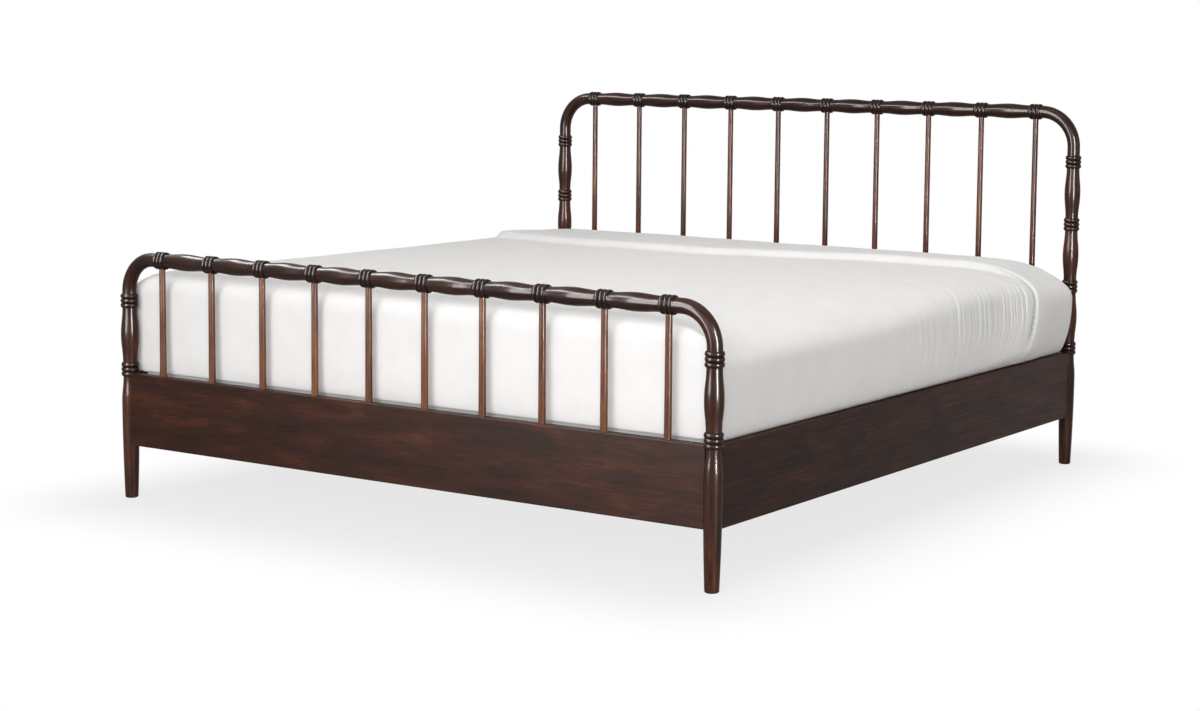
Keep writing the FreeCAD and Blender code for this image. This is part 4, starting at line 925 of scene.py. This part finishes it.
class BED_OT_mattress(bpy.types.Operator):
    """Make the mattress with its quilted underside"""

    bl_idname = "bed.mattress"
    bl_label = "Mattress"

    def execute(self, context):
        soft = context.scene.bed_sheet
        lines = graded_lines([(-0.86, 6), (0.86, 40), (1, 6)])
        inside_sheet = -0.0008
        points, quads, cut, hem = soft_form(lines, lines, inside_sheet, MATTRESS_ROWS)
        # The underside: rings inwards from the hem, quilted in lozenges and laid beside the rest on the flat cut.
        ring_count, lozenges, lift = 40, 13, 0.0005
        above, count = hem, len(points)
        points, quads, cut = [points], [quads], [cut]
        for share in np.linspace(1, 0, ring_count)[1:]:
            place = points[0][hem] * (share, share, 1)
            x, y = place[:, 0], place[:, 1]
            quilt = 1 - np.sqrt(np.abs(np.sin(lozenges * (x + y)) * np.sin(lozenges * (x - y))))
            place[:, 2] = MATTRESS_LOW.z + lift + soft.quilt_depth * quilt * ramp(1, 0.97, share)
            below = np.arange(count, count + len(hem))
            quads.append(band(above, below))
            points.append(place)
            cut.append(place[:, :2] + 4)
            above = below
            count += len(hem)
        mesh = mesh_from("mattress_ticking", np.concatenate(points), np.concatenate(quads), np.concatenate(cut))
        work = bmesh.new()
        work.from_mesh(mesh)
        bmesh.ops.remove_doubles(work, verts=work.verts, dist=1e-5)
        work.to_mesh(mesh)
        work.free()
        ticking = woven_cotton("Polyester ticking, knitted", soft.ticking, 3.0)
        piece = new_piece("mattress_ticking", mesh, "mattress", ["mattress"], ticking)
        return {"FINISHED"}


class BED_OT_fitted_sheet(bpy.types.Operator):
    """Stretch the sheet over the mattress, with its ridge, gathers and folds"""

    bl_idname = "bed.fitted_sheet"
    bl_label = "Fitted sheet"

    def execute(self, context):
        soft = context.scene.bed_sheet
        # The lines lie closest where the gathers and the crease are.
        p_lines = graded_lines([(-0.88, 12), (0.60, 52), (1, 24)])
        q_lines = graded_lines([(-0.88, 12), (-0.10, 18), (0.22, 30), (0.57, 88), (0.76, 86), (1, 12)])
        points, quads, cut, _ = soft_form(p_lines, q_lines, SHEET_HIGH.y - MATTRESS_HIGH.y, SHEET_ROWS)
        ridge, depth = head_ridge(points, cut)
        raised = ridge + side_gathers(points, cut) + slanting_folds(points, cut) + slack(cut)
        # The cloth lies flat low on the rails, and by the posts, clear of them.
        across, along, height = np.abs(points).T
        raised *= ramp(RAIL_TOP, RAIL_TOP + 0.025, height)
        by_post = ramp(POST.x - 0.08, POST.x - 0.04, across) * ramp(POST.y - 0.1, POST.y - 0.05, along)
        raised *= 1 - 0.9 * by_post
        mesh = mesh_from("fitted_sheet_cloth", points + normals_of(points, quads) * raised[:, None], quads, cut)
        gathers = mesh.attributes.new("gathers", "FLOAT_VECTOR", "POINT")
        gathers.data.foreach_set("vector", gather_lines(points, cut).astype(np.float32).ravel())
        # The crease attribute is the mask of the painted shade in the crease.
        mesh.attributes.new("crease", "FLOAT", "POINT").data.foreach_set("value", depth.astype(np.float32))
        cloth = woven_cotton("Cotton sateen, woven", soft.cloth, 1.5, gathered=True)
        piece = new_piece("fitted_sheet_cloth", mesh, "mattress", ["fitted_sheet"], cloth)
        wall = piece.modifiers.new("Thickness", "SOLIDIFY")
        wall.thickness = soft.cloth_thickness
        wall.offset = -1
        # The cut's size, from hem to hem over the middle.
        near_middle = np.abs(cut) < 0.05
        flat = [float(np.ptp(cut[near_middle[:, 1 - axis], axis])) for axis in (0, 1)]
        return {"FINISHED"}


# The studio.
def seen_directly(add):
    """1 for what the camera sees, straight or in a mirror or glass, and 0 for the light on the object."""
    rays = add("ShaderNodeLightPath", out=None).outputs
    straight = add(MATH, [rays["Is Camera Ray"], rays["Is Glossy Ray"]], operation="MAXIMUM")
    return add(MATH, [straight, rays["Is Transmission Ray"]], operation="MAXIMUM")


def studio_floor():
    """Pale floor that fades into the white background and keeps the shadow."""
    stage = bpy.context.scene.bed_stage
    material, add, shader = new_material("Studio floor, painted")
    paint = add("ShaderNodeBsdfDiffuse", {"Color": (*stage.floor, 1)})
    glow = add("ShaderNodeEmission", {"Color": (1, 1, 1, 1), "Strength": 1.0})
    place = add("ShaderNodeTexCoord", out="Object")
    beside = add(VECTOR_MATH, [place], operation="ABSOLUTE")
    edge = (CAD_BOX[1].x - 0.1, CAD_BOX[1].y, 0)
    beside = add(VECTOR_MATH, [beside, edge], operation="SUBTRACT")
    beside = add(VECTOR_MATH, [beside, (0, 0, 0)], operation="MAXIMUM")
    reach = add(VECTOR_MATH, [beside], out="Value", operation="LENGTH")
    far = add("ShaderNodeMapRange", {0: reach, 2: 0.5, 3: 0.78}, interpolation_type="SMOOTHSTEP")
    seen = add("ShaderNodeMixShader", [far, paint, glow])
    mixed = add("ShaderNodeMixShader", [seen_directly(add), paint, seen])
    fill(material.node_tree.nodes["Material Output"], {"Surface": mixed})
    material.node_tree.nodes.remove(shader)
    return material


def studio_world():
    """White where it is seen, an even soft sky as light."""
    stage = bpy.context.scene.bed_stage
    world = bpy.data.worlds.new("Studio")
    bpy.context.scene.world = world
    world.use_nodes = True
    world.node_tree.nodes.clear()
    add = partial(node, world.node_tree)
    sky = add("ShaderNodeBackground", {"Color": (*stage.sky_colour, 1), "Strength": stage.sky})
    white = add("ShaderNodeBackground", {"Color": (1, 1, 1, 1), "Strength": 1.0})
    mixed = add("ShaderNodeMixShader", [seen_directly(add), sky, white])
    add("ShaderNodeOutputWorld", {"Surface": mixed}, out=None)


def new_light(name, place, target, power, size, mirrored_only=False):
    """A rectangular soft box that faces a point."""
    data = bpy.data.lights.new(name, "AREA")
    data.shape = "RECTANGLE"
    data.energy = power
    data.size, data.size_y = size
    lamp = new_object(name, data)
    lamp.visible_camera = False
    lamp.visible_diffuse = not mirrored_only
    lamp.location = place
    way = Vector(target) - lamp.location
    lamp.rotation_mode = "QUATERNION"
    lamp.rotation_quaternion = way.to_track_quat("-Z", "Y")


class BED_OT_stage(bpy.types.Operator):
    """Set the floor, the lights and the camera"""

    bl_idname = "bed.stage"
    bl_label = "Studio"

    def execute(self, context):
        scene = context.scene
        stage = scene.bed_stage
        mesh = bpy.data.meshes.new("studio_floor")
        half = stage.floor_reach
        mesh.from_pydata([(-half, -half, 0), (half, -half, 0), (half, half, 0), (-half, half, 0)], [], [(0, 1, 2, 3)])
        mesh.materials.append(studio_floor())
        floor = new_object("studio_floor", mesh)
        studio_world()
        new_light("Front box", (2.0, -6.4, 2.8), (0, -0.8, 0.5), stage.front, (7.0, 3.8))
        new_light("Top box", (1.0, -0.6, 4.2), (0.2, -0.1, 0.6), stage.top, (3.2, 2.6))
        new_light("Side box", (5.0, 2.0, 1.6), (1.0, 0.6, 0.5), stage.side, (2.4, 2.0))
        # The strips' power goes by their size, so that a share means the same brightness on each.
        for name, place, size, share in (
            ("Left strip", (-0.9, -4.2, 1.95), (1.8, 3.7), 1.4),
            ("Right strip", (4.0, -2.2, 1.2), (0.7, 2.3), 6.0),
            ("Top strip", (-2.4, -1.9, 3.5), (4.6, 0.6), 1.6),
        ):
            power = math.pi * size[0] * size[1] * share * stage.shine
            new_light(name, place, (0, -0.5, 0.7), power, size, mirrored_only=True)
        data = bpy.data.cameras.new("Camera")
        data.sensor_width = 36
        data.lens = stage.focal_pixels / IMAGE_WIDTH * data.sensor_width
        data.shift_x = (IMAGE_WIDTH / 2 - stage.middle_pixel[0]) / IMAGE_WIDTH
        data.shift_y = (stage.middle_pixel[1] - IMAGE_HEIGHT / 2) / IMAGE_WIDTH
        camera = new_object("Camera", data)
        yaw, pitch, roll = stage.turn
        place = Matrix.Translation(stage.eye)
        for angle, axis in ((yaw, "Z"), (math.pi / 2 + pitch, "X"), (roll, "Z")):
            place = place @ Matrix.Rotation(angle, 4, axis)
        camera.matrix_world = place
        scene.camera = camera
        scene.view_settings.view_transform = "Standard"
        return {"FINISHED"}


class BED_PT_bed(bpy.types.Panel):
    """Sizes, finishes and steps of the bed"""

    bl_label = "Turned Spindle Bed"
    bl_space_type = "VIEW_3D"
    bl_region_type = "UI"
    bl_category = "Bed"

    def draw(self, context):
        layout = self.layout
        for group in SETTINGS:
            box = layout.box()
            settings = getattr(context.scene, group)
            for name in settings.bl_rna.properties.keys():
                if name not in ("rna_type", "name"):
                    box.prop(settings, name)
        for step in STEPS:
            layout.operator(step.bl_idname)


SETTINGS = {
    "bed_wood": BedWoodSettings,
    "bed_sheet": BedSheetSettings,
    "bed_deck": BedDeckSettings,
    "bed_stage": BedStageSettings,
}
STEPS = (
    BED_OT_stage, BED_OT_turned_wood, BED_OT_planks, BED_OT_deck, BED_OT_fixings, BED_OT_mattress,
    BED_OT_fitted_sheet,
)
CLASSES = (*SETTINGS.values(), *STEPS, BED_PT_bed)


def register():
    for made in CLASSES:
        bpy.utils.register_class(made)
    for name, kind in SETTINGS.items():
        setattr(bpy.types.Scene, name, bpy.props.PointerProperty(type=kind))


def unregister():
    for name in SETTINGS:
        delattr(bpy.types.Scene, name)
    for made in reversed(CLASSES):
        bpy.utils.unregister_class(made)


def main():
    register()
    bpy.ops.bed.stage()
    bpy.ops.bed.turned_wood()
    bpy.ops.bed.planks()
    bpy.ops.bed.deck()
    bpy.ops.bed.fixings()
    bpy.ops.bed.mattress()
    bpy.ops.bed.fitted_sheet()


if __name__ == "__main__":
    main()
